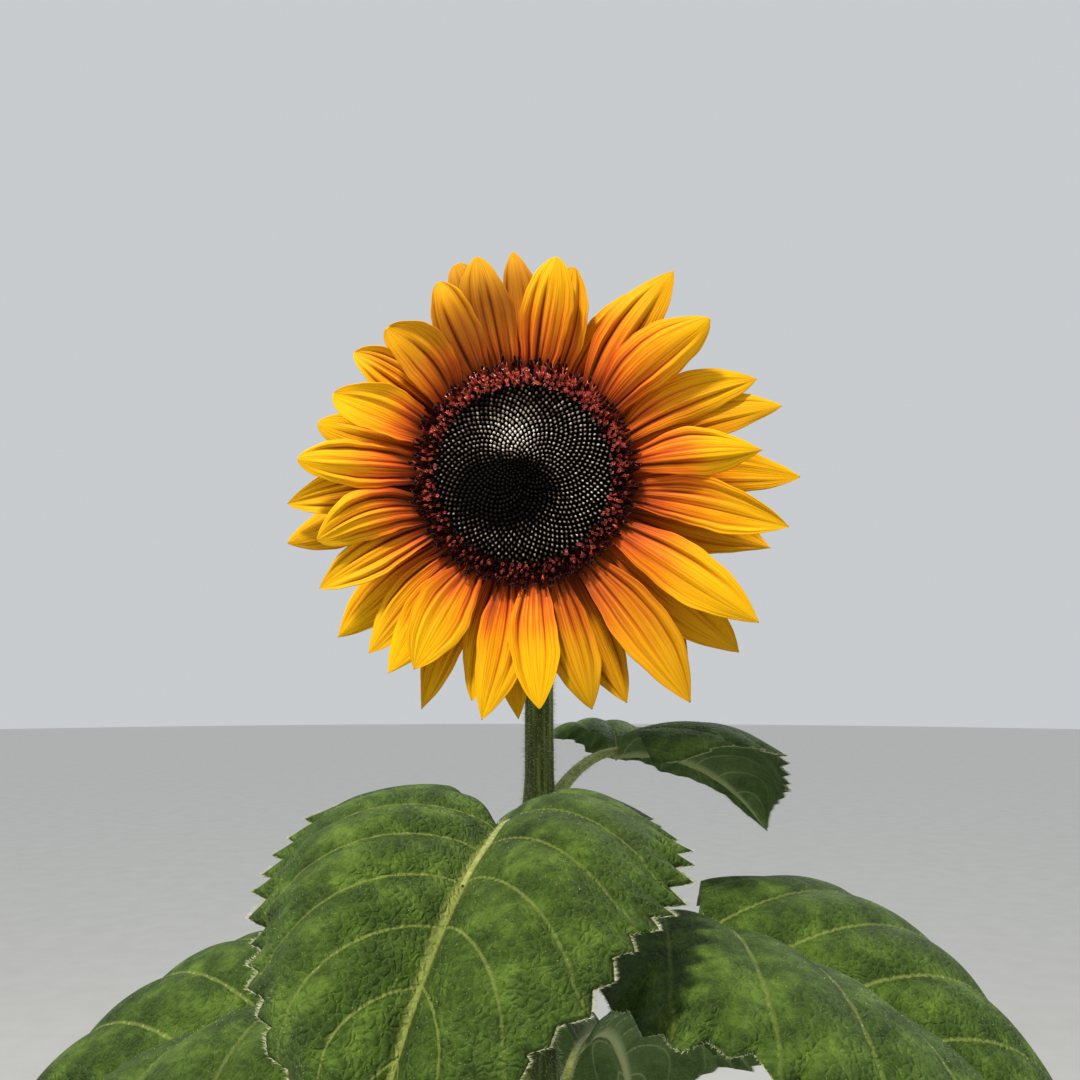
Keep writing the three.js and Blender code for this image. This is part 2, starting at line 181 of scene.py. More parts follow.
class Tissue:
    """A node material. Its methods add one node each and give back its output."""

    def __init__(self, name):
        self.material = bpy.data.materials.new(name)
        self.material.use_nodes = True
        self.tree = self.material.node_tree
        self.place = self.add("TexCoord").outputs["Object"]

    def add(self, kind, settings=None, inputs=None):
        """Adds a node: settings are its own properties, inputs are numbers, colours or outputs."""
        node = self.tree.nodes.new("ShaderNode" + kind)
        for key, value in (settings or {}).items():
            setattr(node, key, value)
        for key, value in (inputs or {}).items():
            if isinstance(value, bpy.types.NodeSocket):
                self.tree.links.new(value, node.inputs[key])
            else:
                node.inputs[key].default_value = value
        return node

    def mapped(self, vector, scale):
        """A vector scaled by three numbers."""
        return self.add("Mapping", None, {"Vector": vector, "Scale": scale}).outputs["Vector"]

    def noise(self, vector, scale, detail=2.0, roughness=0.5, output="Fac"):
        """Noise whose main features repeat scale times in a metre."""
        inputs = {"Vector": vector, "Scale": scale, "Detail": detail, "Roughness": roughness}
        return self.add("TexNoise", None, inputs).outputs[output]

    def cells(self, vector, scale, feature="F1"):
        """Cells, scale of them in a metre: the distance to a cell's middle or to its edge."""
        node = self.add("TexVoronoi", {"feature": feature}, {"Vector": vector, "Scale": scale})
        return node.outputs["Distance"]

    def ramp(self, factor, stops):
        """A colour ramp: stops are positions with hex colours or grey levels."""
        node = self.add("ValToRGB", None, {"Fac": factor})
        elements = node.color_ramp.elements
        while len(elements) < len(stops):
            elements.new(0.5)
        for element, (position, code) in zip(elements, stops):
            element.position = position
            element.color = colour(code) if isinstance(code, str) else (code, code, code, 1.0)
        return node.outputs["Color"]

    def remap(self, value, low, high, first, last):
        """A value moved from the range low to high into the range first to last, and held in it."""
        inputs = {"Value": value, "From Min": low, "From Max": high, "To Min": first, "To Max": last}
        return self.add("MapRange", None, inputs).outputs["Result"]

    def mix(self, factor, under, over):
        """The colour under, with the hex colour over laid on it by the factor."""
        inputs = {"Factor": factor, "A": under, "B": colour(over)}
        return self.add("Mix", {"data_type": "RGBA"}, inputs).outputs["Result"]

    def maths(self, operation, a, b=0.0, c=0.0):
        """One step of arithmetic."""
        return self.add("Math", {"operation": operation}, {0: a, 1: b, 2: c}).outputs[0]

    def finished(self, tint, roughness, gloss=0.5, relief=None, strength=0.0, depth=0.0):
        """Links the colour, and the relief as a bump that is depth metres high. Gives the material."""
        shader = self.tree.nodes["Principled BSDF"]
        self.tree.links.new(tint, shader.inputs["Base Color"])
        if relief is not None:
            bump = self.add("Bump", None, {"Strength": strength, "Distance": depth, "Height": relief})
            self.tree.links.new(bump.outputs["Normal"], shader.inputs["Normal"])
        shader.inputs["Roughness"].default_value = roughness
        shader.inputs["Specular IOR Level"].default_value = gloss
        return self.material


print("node helpers ready")

# %% [markdown]
# ## Sizes that shape both the solids and the looks
# The stalk tapers evenly from a flared foot to the neck and swells a little where a leaf stands. The
# leaves follow a spiral of 137.5 degrees, the angle by which most plants space their leaves and by
# which the florets in the disc are packed, because no two then stand over each other.

# %% Sizes in millimetres and degrees
GOLDEN_ANGLE = 137.5
STALK_HEIGHT, FOOT_RADIUS, TOP_RADIUS = 1480.0, 14.2, 7.3
FLARE, FLARE_HEIGHT = 6.5, 26.0
NODE_SWELLING, NODE_REACH, SWAY = 1.1, 13.0, 9.0
BLOOM_CENTRE = np.array([-6.6, -75.0, 1560.0])
BLOOM_NOD, BLOOM_TURN = 7.0, -5.0
DISC_RADIUS, DISC_EDGE, DISC_DOME = 40.0, 7.0, 17.0
RECEPTACLE_BACK, NECK_END_RADIUS = -26.0, 8.6
SEAM = 0.3
UP = np.array([0.0, 0.0, 1.0])
rad = math.radians

LEAF_COUNT = 13
leaf_number = np.arange(LEAF_COUNT)
# The gaps between leaves grow downwards by a fifth from each to the next
TOP_LEAF, FIRST_GAP, GAP_GROWTH = 1403, 24, 0.205
leaf_heights = TOP_LEAF - FIRST_GAP * ((1 + GAP_GROWTH) ** leaf_number - 1) / GAP_GROWTH
print("leaves stand at", np.round(leaf_heights).astype(int))


# %% The stalk's middle and radius
def stalk_centre(z):
    """The stalk's middle: straight up, moved sideways by SWAY times the square of a sine."""
    t = z / STALK_HEIGHT
    bow = SWAY * np.sin(np.pi * t) ** 2
    return np.stack([bow * np.cos(2.2 * np.pi * t), 0.7 * bow, z + 0 * t], -1)


def stalk_radius(z):
    """An even taper, a root flare that dies away upwards, and a swelling to both sides of each leaf."""
    taper = FOOT_RADIUS + (TOP_RADIUS - FOOT_RADIUS) * z / STALK_HEIGHT
    nearest = np.abs(z[..., None] - leaf_heights).min(-1)
    swelling = NODE_SWELLING * np.maximum(0, 1 - nearest / NODE_REACH)
    return taper + FLARE * np.exp(-z / FLARE_HEIGHT) + swelling


def bloom_axes():
    """Rows are the bloom's own x (right), y (up) and z (out of its face) in the plant's frame."""
    nod, turn = rad(90 + BLOOM_NOD), rad(BLOOM_TURN)
    tip = np.array([[1, 0, 0], [0, math.cos(nod), -math.sin(nod)], [0, math.sin(nod), math.cos(nod)]])
    swing = np.array([[math.cos(turn), -math.sin(turn), 0],
                      [math.sin(turn), math.cos(turn), 0], [0, 0, 1]])
    return (swing @ tip).T


BLOOM_AXES = bloom_axes()
FACING = BLOOM_AXES[2]


def on_bloom(points):
    """Points in the bloom's own frame, moved to where the bloom is."""
    return points @ BLOOM_AXES + BLOOM_CENTRE


print("the bloom faces", np.round(FACING, 3))

# %% [markdown]
# ## Stalk and neck
# A sunflower's stalk is a herbaceous stem: a green skin over fibres that run lengthwise and show as
# fine ribs, set with stiff white hairs. It could be a curve with a bevel, but a swept skin lets the
# ribs, the leaf nodes and the root flare be part of one formula. The section is carried along one
# path that goes up the stalk and bends over with the neck into the back of the bloom.

# %% The path and the skin
FLARE_RINGS, FLARE_ZONE = 40, 90
UPRIGHT_RINGS, NECK_RINGS, STALK_COLUMNS = 330, 60, 84
NECK_HANDLES = 62, 38


def stalk_path():
    """Middle, tangent and radius along stalk and neck. The rings stand closer in the flare. The neck
    is a cubic curve: up from the stalk's top, and square into the back of the bloom."""
    z = np.concatenate([np.linspace(0, FLARE_ZONE, FLARE_RINGS, endpoint=False),
                        np.linspace(FLARE_ZONE, STALK_HEIGHT, UPRIGHT_RINGS)])
    start = np.array([0, 0, STALK_HEIGHT + SEAM])
    end = BLOOM_CENTRE + FACING * (RECEPTACLE_BACK - SEAM)
    t = np.linspace(0, 1, NECK_RINGS)[1:, None]
    handles = [start, start + UP * NECK_HANDLES[0], end - FACING * NECK_HANDLES[1], end]
    weights = [(1 - t) ** 3, 3 * t * (1 - t) ** 2, 3 * t * t * (1 - t), t ** 3]
    neck = sum(w * h for w, h in zip(weights, handles))
    centre = np.concatenate([stalk_centre(z), neck])
    neck_radius = TOP_RADIUS + (NECK_END_RADIUS - TOP_RADIUS) * t[:, 0] ** 2
    radius = np.concatenate([stalk_radius(z), neck_radius])
    return centre, unit(np.gradient(centre, axis=0)), radius


SIDE = unit(np.array([-FACING[1], FACING[0], 0.0]))


def stalk_section(centre, tangent, radius, angle):
    """Points round the path: radius times (1 + ribs), where the ribs are three cosines of the angle
    that drift slowly along the stalk. Also gives the direction outwards at each point."""
    length = np.arange(len(centre))[:, None] / len(centre)
    relief = 0.012 * np.cos(9 * angle + 5 * length) + 0.008 * np.cos(17 * angle - 9 * length + 1)
    relief = relief + 0.006 * np.cos(31 * angle + 14 * length)
    up = np.cross(tangent, SIDE)
    outward = around(angle, SIDE, up[:, None])
    return centre[:, None] + (radius[:, None] * (1 + relief))[..., None] * outward, outward


path, tangent, path_radius = stalk_path()
skin, outwards = stalk_section(path, tangent, path_radius, circle(STALK_COLUMNS)[None])
skin[0, :, 2] = 0.0
stalk_points = capped(skin, skin[0].mean(0), path[-1])
stalk_faces = tube_faces(len(path), STALK_COLUMNS)
print("stalk rings", len(path))

# %% [markdown]
# ## Stem skin
# Living stem skin (epidermis over green tissue): a matte, slightly waxy surface. Lengthwise fibres
# give it streaks 1 to 2 mm wide and some 60 mm long, the hairs' bases are pale specks under 1 mm
# wide, and the foot is darker and a little purple, as where a stalk grows woody.

# %% Stem skin material
def stem_skin():
    """Noise drawn out along the stalk, pale dots on it, and a darker tint up to 0.45 m."""
    tissue = Tissue("stem_skin")
    streaks = tissue.noise(tissue.mapped(tissue.place, (1, 1, 0.04)), 420.0, 4.0, 0.6)
    tint = tissue.ramp(streaks, [(0.3, "#232D0F"), (0.46, "#3E4C1C"), (0.6, "#5E6E2D"), (0.78, "#929F56")])
    dots = tissue.ramp(tissue.cells(tissue.place, 620.0), [(0.12, 1.0), (0.3, 0.0)])
    tint = tissue.mix(dots, tint, "#7C8850")
    height = tissue.add("SeparateXYZ", None, {"Vector": tissue.place}).outputs["Z"]
    tint = tissue.mix(tissue.remap(height, 0.0, 0.45, 0.75, 0.0), tint, "#4E4424")
    return tissue.finished(tint, 0.6, 0.25, streaks, 0.5, 0.0004)


STEM_SKIN = stem_skin()
stalk = make_piece("stalk_skin", stalk_points, stalk_faces, [STEM_SKIN])
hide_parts("stalk", "neck")
print("stalk skin", len(stalk.data.polygons), "faces")

# %% [markdown]
# ## Hairs
# The hairs are stiff and white, and up to 3.5 mm long on the stalk. A particle system would be lost on
# export, so each hair is a real spike of three narrow sides and a foot, and all of them are one joined
# mesh. They stand in the same golden-angle spiral as the leaves, shaken a little, which spreads them
# evenly with no rows.

# %% Copies of one small shape
def copies(shape, faces, origins, axes, sizes):
    """Copies of one small shape: scaled by sizes, turned to axes (rows are the copy's x, y and z)
    and moved to origins."""
    placed = np.einsum("npk,nkj->npj", shape[None] * sizes[:, None], axes) + origins[:, None]
    shift = (np.arange(len(origins)) * len(shape))[:, None, None]
    return placed.reshape(-1, 3), [(f[None] + shift).reshape(-1, f.shape[1]) for f in faces]


def upright_axes(direction, spin):
    """Axes whose z is the given direction, turned about it by spin."""
    z = unit(direction)
    helper = np.where(np.abs(z[:, 2:]) < 0.9, [[0.0, 0.0, 1.0]], [[1.0, 0.0, 0.0]])
    x = unit(np.cross(helper, z))
    y = np.cross(z, x)
    return np.stack([around(spin, x, y), around(spin, y, -x), z], 1)


print("axes of an upright copy", upright_axes(UP[None], np.zeros(1))[0].tolist())


# %% Hair material and spikes
def plant_hair():
    """Plant hairs: clear cell walls that scatter light, so they read as white with a soft glow."""
    tissue = Tissue("plant_hair")
    shade = tissue.noise(tissue.place, 90.0)
    return tissue.finished(tissue.ramp(shade, [(0.35, "#A3AD78"), (0.65, "#DDE2BE")]), 0.5)


PLANT_HAIR = plant_hair()
spike = np.array([[1, 0, 0], [-0.5, 0.866, 0], [-0.5, -0.866, 0], [0, 0, 1.0]])
spike_faces = [np.array([[0, 1, 3], [1, 2, 3], [2, 0, 3], [0, 2, 1]])]


def hairs(roots, outward, length, width, droop, seed):
    """Spikes at the roots, along outward bent by droop and a random lean."""
    rng = np.random.default_rng(seed)
    lean = rng.normal(0, 0.28, roots.shape) + np.array([0, 0, droop])
    direction = unit(outward + lean)
    axes = upright_axes(direction, rng.uniform(0, 2 * np.pi, len(roots)))
    long = length * rng.uniform(0.55, 1.15, len(roots))
    sizes = np.stack([np.full(len(roots), width), np.full(len(roots), width), long], -1)
    return copies(spike, spike_faces, roots, axes, sizes)


def stalk_hair_roots(count, seed):
    """Even places on the stalk's skin: height by rank, angle by the golden angle."""
    rng = np.random.default_rng(seed)
    steps = np.linalg.norm(np.diff(path, axis=0), axis=1) * path_radius[1:]
    areas = np.concatenate([[0], np.cumsum(steps)])
    where = np.interp((np.arange(count) + rng.uniform(0, 1, count)) / count * areas[-1],
                      areas, np.arange(len(path)))
    turn = np.arange(count) * rad(GOLDEN_ANGLE) + rng.normal(0, 0.3, count)
    row = np.clip(np.round(where).astype(int), 1, len(path) - 1)
    column = np.round(turn / (2 * np.pi) * STALK_COLUMNS).astype(int) % STALK_COLUMNS
    step = (where - row)[:, None] * (path[row] - path[row - 1])
    return skin[row, column] + step, outwards[row, column], path[row, 2]


print("corners of a hair", len(spike))

# %% Hairs on the stalk
STALK_HAIRS, BARE_FOOT, ROOTED = 36000, 12, 0.1
roots, out, height = stalk_hair_roots(STALK_HAIRS, seed=3)
keep = height > BARE_FOOT
hair_points, hair_faces = hairs(roots[keep] - ROOTED * out[keep], out[keep],
                                length=3.0, width=0.1, droop=-0.12, seed=4)
stalk_hair = make_piece("stalk_hairs", hair_points, hair_faces, [PLANT_HAIR])
print("stalk hairs", keep.sum())

# %% [markdown]
# ## The back of the bloom
# Behind the rays sits the receptacle, the thick green cushion that carries every floret, and from its
# rim grow the bracts, pointed green scales in overlapping rows that wrapped the bud. The receptacle
# is a profile turned about the bloom's axis, with shallow ribs that run down into the neck.

# %% Receptacle
def ease(low, high, x):
    """0 below low, 1 above high, and a smooth step between them."""
    t = np.clip((x - low) / (high - low), 0, 1)
    return t * t * (3 - 2 * t)


def receptacle_skin(rows=70, columns=156):
    """A turned profile: radius and height along it are smooth curves through the solid's corners,
    and ribs that fade towards the rim move the skin by up to 0.5 mm."""
    corner_r = [0, 6, 9, 12.5, 16, 24, 33.5, 41.7, 45.3, 46.7, 46.7, 43.0, 38, 0]
    corner_z = [-26.2, -26.2, -25.6, -24.3, -22.3, -18.6, -15.5, -11.6, -9.2, -7.3, -4.2, -2.6, -2.4, -2.4]
    at = np.linspace(0, 1, rows)
    knots = np.linspace(0, 1, len(corner_r))
    radius = np.interp(at, knots, corner_r)
    height = np.interp(at, knots, corner_z)
    for _ in range(2):
        radius[1:-1] = 0.25 * radius[:-2] + 0.5 * radius[1:-1] + 0.25 * radius[2:]
        height[1:-1] = 0.25 * height[:-2] + 0.5 * height[1:-1] + 0.25 * height[2:]
    turn = circle(columns)[None]
    rib = 0.5 * np.cos(26 * turn) * ease(8, 16, radius)[:, None] * (1 - ease(40, 46, radius))[:, None]
    wide = radius[:, None] + 0.3 * rib
    return turned(wide, turn, height[:, None] - rib)


cushion = receptacle_skin()
cushion_points = capped(cushion[1:-1], cushion[0].mean(0), cushion[-1].mean(0))
cushion_faces = tube_faces(len(cushion) - 2, cushion.shape[1])


def bract_skin():
    """Bract and receptacle skin: soft leaf tissue, matte, mottled in patches about 3 mm wide, with a
    grain under 1 mm that catches the light."""
    tissue = Tissue("bract_skin")
    tint = tissue.ramp(tissue.noise(tissue.place, 260.0, 5.0, 0.65),
                       [(0.3, "#3C4A17"), (0.5, "#586C24"), (0.7, "#788B34"), (0.9, "#9AA352")])
    return tissue.finished(tint, 0.65, 0.25, tissue.noise(tissue.place, 1500.0), 0.4, 0.0003)


BRACT_SKIN = bract_skin()
receptacle = make_piece("receptacle_skin", on_bloom(cushion_points), cushion_faces, [BRACT_SKIN])
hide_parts("receptacle")
print("receptacle", len(receptacle.data.polygons), "faces")


# %% Thin closed sheets, and chance
def thin_sheet(upper, thickness, side):
    """A closed sheet: the lower grid is the upper one moved along its normal by the thickness.
    side is 1 where the upper normal is rows x columns, and -1 where it is columns x rows.
    Returns points, faces of the upper side, faces of the lower side and of the rim."""
    rows, columns = upper.shape[:2]
    normal = side * unit(np.cross(np.gradient(upper, axis=0), np.gradient(upper, axis=1)))
    lower = upper - normal * thickness[..., None]
    count = rows * columns
    face = grid_faces(rows, columns)
    index = np.arange(count).reshape(rows, columns)
    loop = np.concatenate([index[0], index[1:, -1], index[-1, -2::-1], index[-2:0:-1, 0]])
    ahead = np.roll(loop, -1)
    rim = np.stack([loop, loop + count, ahead + count, ahead], -1)
    if side > 0:
        face, rim = face[:, ::-1], rim[:, ::-1]
    points = np.concatenate([upper.reshape(-1, 3), lower.reshape(-1, 3)])
    return points, face, face[:, ::-1] + count, rim


def scattered(k, salt):
    """A repeatable number from -1 to 1 for piece k: what is left of a large sine after its whole
    part. Each salt gives its own series."""
    x = 43758.5453 * np.sin(12.9898 * (np.asarray(k) + 1.0) + 78.233 * salt)
    return 2 * (x - np.floor(x)) - 1


def on_clock(turn, out, across, height):
    """Points of a sheet that runs out from the bloom's middle at an angle clockwise from its top."""
    outward = np.array([math.sin(turn), math.cos(turn), 0])
    side = np.array([math.cos(turn), -math.sin(turn), 0])
    return out[..., None] * outward + across[..., None] * side + height[..., None] * UP


print("three numbers by chance", np.round(scattered(np.arange(3), 1), 2))


# %% Bracts in three rows
def bract(turn, root, root_height, length, width, tilt, curl, seed):
    """One bract: a long-pointed leaf shape. It runs outwards at the tilt and its tip curls by curl
    towards the back; its halves fold up a little from the middle nerve."""
    u = np.linspace(0, 1, 22)[:, None]
    v = np.linspace(-1, 1, 9)[None]
    half = width * np.clip(np.sin(np.pi * (0.3 + 0.7 * u ** 0.8)), 0.02, 1) * (1 - 0.35 * u)
    pitch = rad(tilt) + rad(curl) * u ** 2
    run, fall = length * u * np.cos(pitch), length * u * np.sin(pitch)
    lift = 0.22 * half * np.abs(v) + 0.25 * np.cos(5 * np.pi * v) * (1 - u)
    across = half * v + 1.5 * scattered(seed, 1) * u ** 2
    points = on_clock(turn, root + run + 0 * v, across, root_height - fall - lift)
    return thin_sheet(points, 0.35 + 0.25 * (1 - u) + 0 * v, -1)


def join(parts):
    """Joins (points, face arrays...) tuples into one set of points and one list of face arrays."""
    starts = np.cumsum([0] + [len(p[0]) for p in parts[:-1]])
    points = np.concatenate([p[0] for p in parts])
    faces = [f + start for p, start in zip(parts, starts) for f in p[1:]]
    return points, faces


# Each row starts further back and stands further off the rays than the one before:
# number of bracts, radius and height of the roots, length, half width and tilt
BRACT_ROWS = [(26, 44.5, -6.4, 33, 7.6, 9), (26, 41.5, -8.6, 30, 7.8, 15), (20, 37.5, -12.4, 26, 7.2, 24)]


def bract_rows():
    """All bracts. Every second row is turned by half a step, and each bract is a little different."""
    parts = []
    for row, (count, root, height, length, width, tilt) in enumerate(BRACT_ROWS):
        for i in range(count):
            seed = 40 * row + i
            turn = 2 * math.pi * (i + 0.5 * (row % 2)) / count + 0.05 * scattered(seed, 2)
            parts.append(bract(turn, root, height, length * (1 + 0.12 * scattered(seed, 3)), width,
                               tilt + 3 * scattered(seed, 4), 14 + 12 * scattered(seed, 5), seed))
    return join(parts)


bract_points, bract_faces = bract_rows()
bracts = make_piece("bracts", on_bloom(bract_points), bract_faces, [BRACT_SKIN])
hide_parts("bract_collar")
print("bracts", len(bracts.data.polygons), "faces")

# %% [markdown]
# ## The disc
# The disc is packed with closed florets in the sunflower's famous double spiral: floret n stands at
# n times the golden angle and at a radius that grows with a power of n, so that they are 1.7 mm apart
# near the middle and 2.4 mm at the edge. Each floret is a blunt dark peg with a pale tip. The pegs and
# the tips are two joined meshes. The tips' shade is dealt out floret by floret from four plain
# colours, pale to near black: partly by chance, darker towards the ring and the top and bottom edges,
# and with painted shade and light. A painted shade makes them near black in and below the middle,
# where the dome's lower side is turned from the light, and a painted highlight makes them paler and
# wider above the middle, where its upper side catches the light.

# %% Bed and spiral
def dome_height(share):
    """Height of the florets' bed over the rays' roots; share is the radius over the disc's radius. A
    rounded edge and a blunt cone in the middle."""
    rise = np.maximum(0, 1 - share / 0.86) ** 1.35
    shoulder = DISC_EDGE + 2 * np.sqrt(np.maximum(0, 1 - np.minimum(share, 1) ** 2))
    return shoulder + (DISC_DOME - DISC_EDGE - 2) * rise


SPACING, CROWDING, SPIRAL_EDGE = 2.4, 0.6, 41
FLORET_ANGLE = rad(137.508)
FLORETS = int(2 * math.pi * CROWDING * SPIRAL_EDGE ** 2 / (0.866 * SPACING ** 2))
rank = np.arange(FLORETS) + 0.5
spiral_turn = rank * FLORET_ANGLE + 0.004 * scattered(rank, 5)
spiral_radius = SPIRAL_EDGE * (rank / FLORETS) ** CROWDING + 0.04 * scattered(rank, 6)
room = SPACING * (0.1 + spiral_radius / SPIRAL_EDGE) ** (1 - 0.5 / CROWDING)
share = spiral_radius / DISC_RADIUS
slope = (dome_height(share + 0.01) - dome_height(share)) / (0.01 * DISC_RADIUS)
spiral = turned(spiral_radius, spiral_turn, dome_height(share) - 2.6)
spiral_axis = unit(UP - slope[:, None] * turned(1, spiral_turn, 0 * share))
print("closed florets", FLORETS)

# The bed lies under the pegs' feet, goes on under the ring and is closed behind
BED_SINK, BED_COLUMNS = 2.2, 96
BED_EDGE = [(44, 4.4), (47.2, 2.2), (47.2, -2.2)]
bed_share = np.linspace(0.02, 1.0, 40)[:, None]
bed_turn = circle(BED_COLUMNS)
bed = turned(DISC_RADIUS * bed_share, bed_turn[None], dome_height(bed_share) - BED_SINK)
bed = np.concatenate([bed] + [turned(radius, bed_turn, height)[None] for radius, height in BED_EDGE])
bed_points = capped(bed, [0, 0, dome_height(np.zeros(1))[0] - BED_SINK], [0, 0, BED_EDGE[-1][1]])
bed_faces = [f[:, ::-1] for f in tube_faces(len(bed), BED_COLUMNS)]


# %% Dark tissue and the bed
def floret_tissue(name, low, high, roughness, gloss=0.5, grain_size=0.7):
    """Floret tissue: small dry or waxy plant parts, matte to half glossy, whose colour and relief
    have a grain of about 0.7 mm, which keeps them from reading as plastic."""
    tissue = Tissue(name)
    grain = tissue.noise(tissue.place, 1000 / grain_size, 3.0)
    tint = tissue.ramp(grain, [(0.35, low), (0.66, high)])
    return tissue.finished(tint, roughness, gloss, grain, 0.4, 0.0002)


DISC_BED = floret_tissue("disc_bed", "#040202", "#100606", 0.8, 0.05)
BUD_SKIN = floret_tissue("bud_skin", "#050303", "#120A09", 0.55, 0.12)
bed_piece = make_piece("disc_bed", on_bloom(bed_points), bed_faces, [DISC_BED])
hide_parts("seed_disc")
print("bed", len(bed_piece.data.polygons), "faces")


# %% Closed florets
def turned_shape(profile, sides):
    """A small body turned about z from (radius, height) pairs; the last point closes it on the axis."""
    rings = np.array([turned(radius, circle(sides), height) for radius, height in profile[:-1]])
    points = capped(rings, [0, 0, profile[0][1]], [0, 0, profile[-1][1]])
    return points, tube_faces(len(rings), sides)


def sized(width, length):
    """Sizes of copies that are as wide in x as in y."""
    return np.stack(np.broadcast_arrays(width, width, length), -1)


def make_copies(name, shape, origins, axes, sizes, materials, which=None):
    """One joined mesh of copies on the bloom; which picks each copy's material."""
    points, faces = copies(*shape, origins, axes, sizes)
    picked = None if which is None else np.concatenate([np.repeat(which, len(f)) for f in shape[1]])
    return make_piece(name, on_bloom(points), faces, materials, face_material=picked)


bud_shape = turned_shape([(0.36, 0), (0.46, 0.45), (0.44, 0.8), (0.27, 0.97), (0, 1.0)], 6)
tip_shape = turned_shape([(0.42, 0), (0.5, 0.35), (0.3, 0.8), (0, 1.0)], 5)
size = 1 - 0.2 * np.exp(-(spiral_radius / 6) ** 2)
wobble = 0.05 * np.stack([scattered(rank, 31), scattered(rank, 32), 0 * rank], -1)
bud_axes = upright_axes(unit(spiral_axis + wobble), spiral_turn)
bud_sizes = sized(room * size, 3.0 + 0.5 * scattered(rank, 7))
bud_piece = make_copies("disc_buds", bud_shape, spiral, bud_axes, bud_sizes, [BUD_SKIN])
print("buds", len(bud_piece.data.polygons), "faces")

# %% Their tips
# From pale to near black. A painted shade is a soft oval below the middle, and a painted highlight a round
# patch above it
TIPS = [floret_tissue("tip_pale", "#B9AFA4", "#F2ECE2", 0.35),
        floret_tissue("tip_beige", "#8A7B70", "#B4A89B", 0.4, 0.3),
        floret_tissue("tip_brown", "#43342E", "#6B5850", 0.5, 0.2),
        floret_tissue("tip_dark", "#080505", "#160E0D", 0.6, 0.08)]
right, above = spiral[:, 0], spiral[:, 1]
painted_shade_oval = np.exp(-((right + 8) ** 2 / 420 + (above + 8) ** 2 / 230) ** 2)
ripeness_and_painted_light = np.exp(-((right + 4) ** 2 + (above - 15) ** 2) / 12 ** 2)
# Painted light and shade with a random tone: near black in the painted shade, paler in the painted highlight,
# and darker towards the ring and the top and bottom edges
painted_shading_and_tone = (0.66 - 1.15 * painted_shade_oval + 0.4 * ripeness_and_painted_light + 0.17 * scattered(rank, 8) - 0.3 * ease(37, 41, spiral_radius)
       - 0.26 * ease(20, 32, above) - 0.14 * ease(26, 36, -above) + 0.003 * right)
shade = np.digitize(-painted_shading_and_tone, [-0.84, -0.56, -0.3])
# The tips are wider in the painted highlight and towards the top
tip_wide = room * size * (0.38 + 0.24 * ripeness_and_painted_light + 0.1 * ease(16, 30, above) + 0.06 * scattered(rank, 33))
tip_sizes = np.stack([tip_wide, tip_wide * (1.4 + 0.2 * scattered(rank, 34)), 1.0 + 0 * size], -1)
tip_roots = spiral + bud_axes[:, 2] * (bud_sizes[:, 2:] - 0.45)
tip_piece = make_copies("disc_tips", tip_shape, tip_roots, bud_axes, tip_sizes, TIPS, shade)
print("tips", len(tip_piece.data.polygons), "faces, by shade", np.bincount(shade))

# %% [markdown]
# ## The ring of open florets
# The outer florets are tubes, glossy and dark red, packed as close as the spiral lets them, and their
# mouths widen to five lobes. The two outermost rows are fully open: longer, near black, with a stubby
# tube of anthers that stands out of each, and on many of them two short stigma branches. All lean
# more and more towards the rays. Each kind of part is one joined mesh.

# %% Where the open florets stand
RING_INNER, RING_OUTER, RING_SPACING = 40.4, 45.4, 1.42
ring_count = int(math.pi * (RING_OUTER ** 2 - RING_INNER ** 2) / (0.866 * RING_SPACING ** 2))
stub_count = 210  # the open florets of the two outermost rows
floret = np.arange(ring_count + stub_count) + 0.5
stub = floret > ring_count
ring_share = np.where(stub, 1.0, np.minimum(floret / ring_count, 1))
ring_turn = np.where(stub, floret * 2 * np.pi * 2 / stub_count, floret * FLORET_ANGLE)
ring_turn = ring_turn + 0.02 * scattered(floret, 11)
ring_radius = np.where(stub, 44.9 + 1.0 * (floret.astype(int) % 2) + 0.5 * scattered(floret, 10),
                       np.sqrt(RING_INNER ** 2 + (RING_OUTER ** 2 - RING_INNER ** 2) * ring_share))
ring_out = turned(1, ring_turn, 0 * ring_turn)
ring_side = np.stack([-np.sin(ring_turn), np.cos(ring_turn), 0 * ring_turn], -1)
ring_lean = 6 + 28 * ring_share + np.where(stub, 6 + 14 * scattered(floret, 9), 14 * scattered(floret, 12))
ring_lean = np.radians(ring_lean)
ring_axis = unit(around(ring_lean, UP, ring_out) + 0.24 * scattered(floret, 13)[:, None] * ring_side)
ring_root = ring_radius[:, None] * ring_out + (5.0 - 2.0 * ring_share)[:, None] * UP
ring_length = 3.8 + 2.4 * ease(0, 0.6, ring_share) + 1.5 * scattered(floret, 14) + np.where(stub, 1.7, 0)
ring_axes = upright_axes(ring_axis, 2 * np.pi * scattered(floret, 15))
print("florets in the ring", ring_count, "and open", stub.sum())


# %% Their tubes
def open_tube(sides=10):
    """A tube with five lobes: every second point of the top ring stands higher and further out. A
    last ring dips inside, and the foot is closed."""
    turn = circle(sides)
    lobe = (1 + np.cos(5 * turn)) / 2
    rings = [(0.5, 0), (0.42, 0.3), (0.74, 0.62), (0.8 + 0.12 * lobe, 0.82),
             (0.74 + 0.6 * lobe, 0.86 + 0.14 * lobe), (0.5, 0.78)]
    points = np.array([turned(radius, turn, height) for radius, height in rings])
    return capped(points, [0, 0, 0], [0, 0, 0.7]), tube_faces(len(rings), sides)


RING_REDS = [floret_tissue("floret_red", "#A0241A", "#F67C60", 0.3, 0.6, 1.3),
             floret_tissue("floret_maroon", "#58120E", "#BA4230", 0.3, 0.5, 1.3),
             floret_tissue("floret_black_red", "#140405", "#42120E", 0.5, 0.1)]
tube_sizes = sized(np.where(stub, 0.95, 0.66) * (1 + 0.2 * scattered(floret, 35)), ring_length)
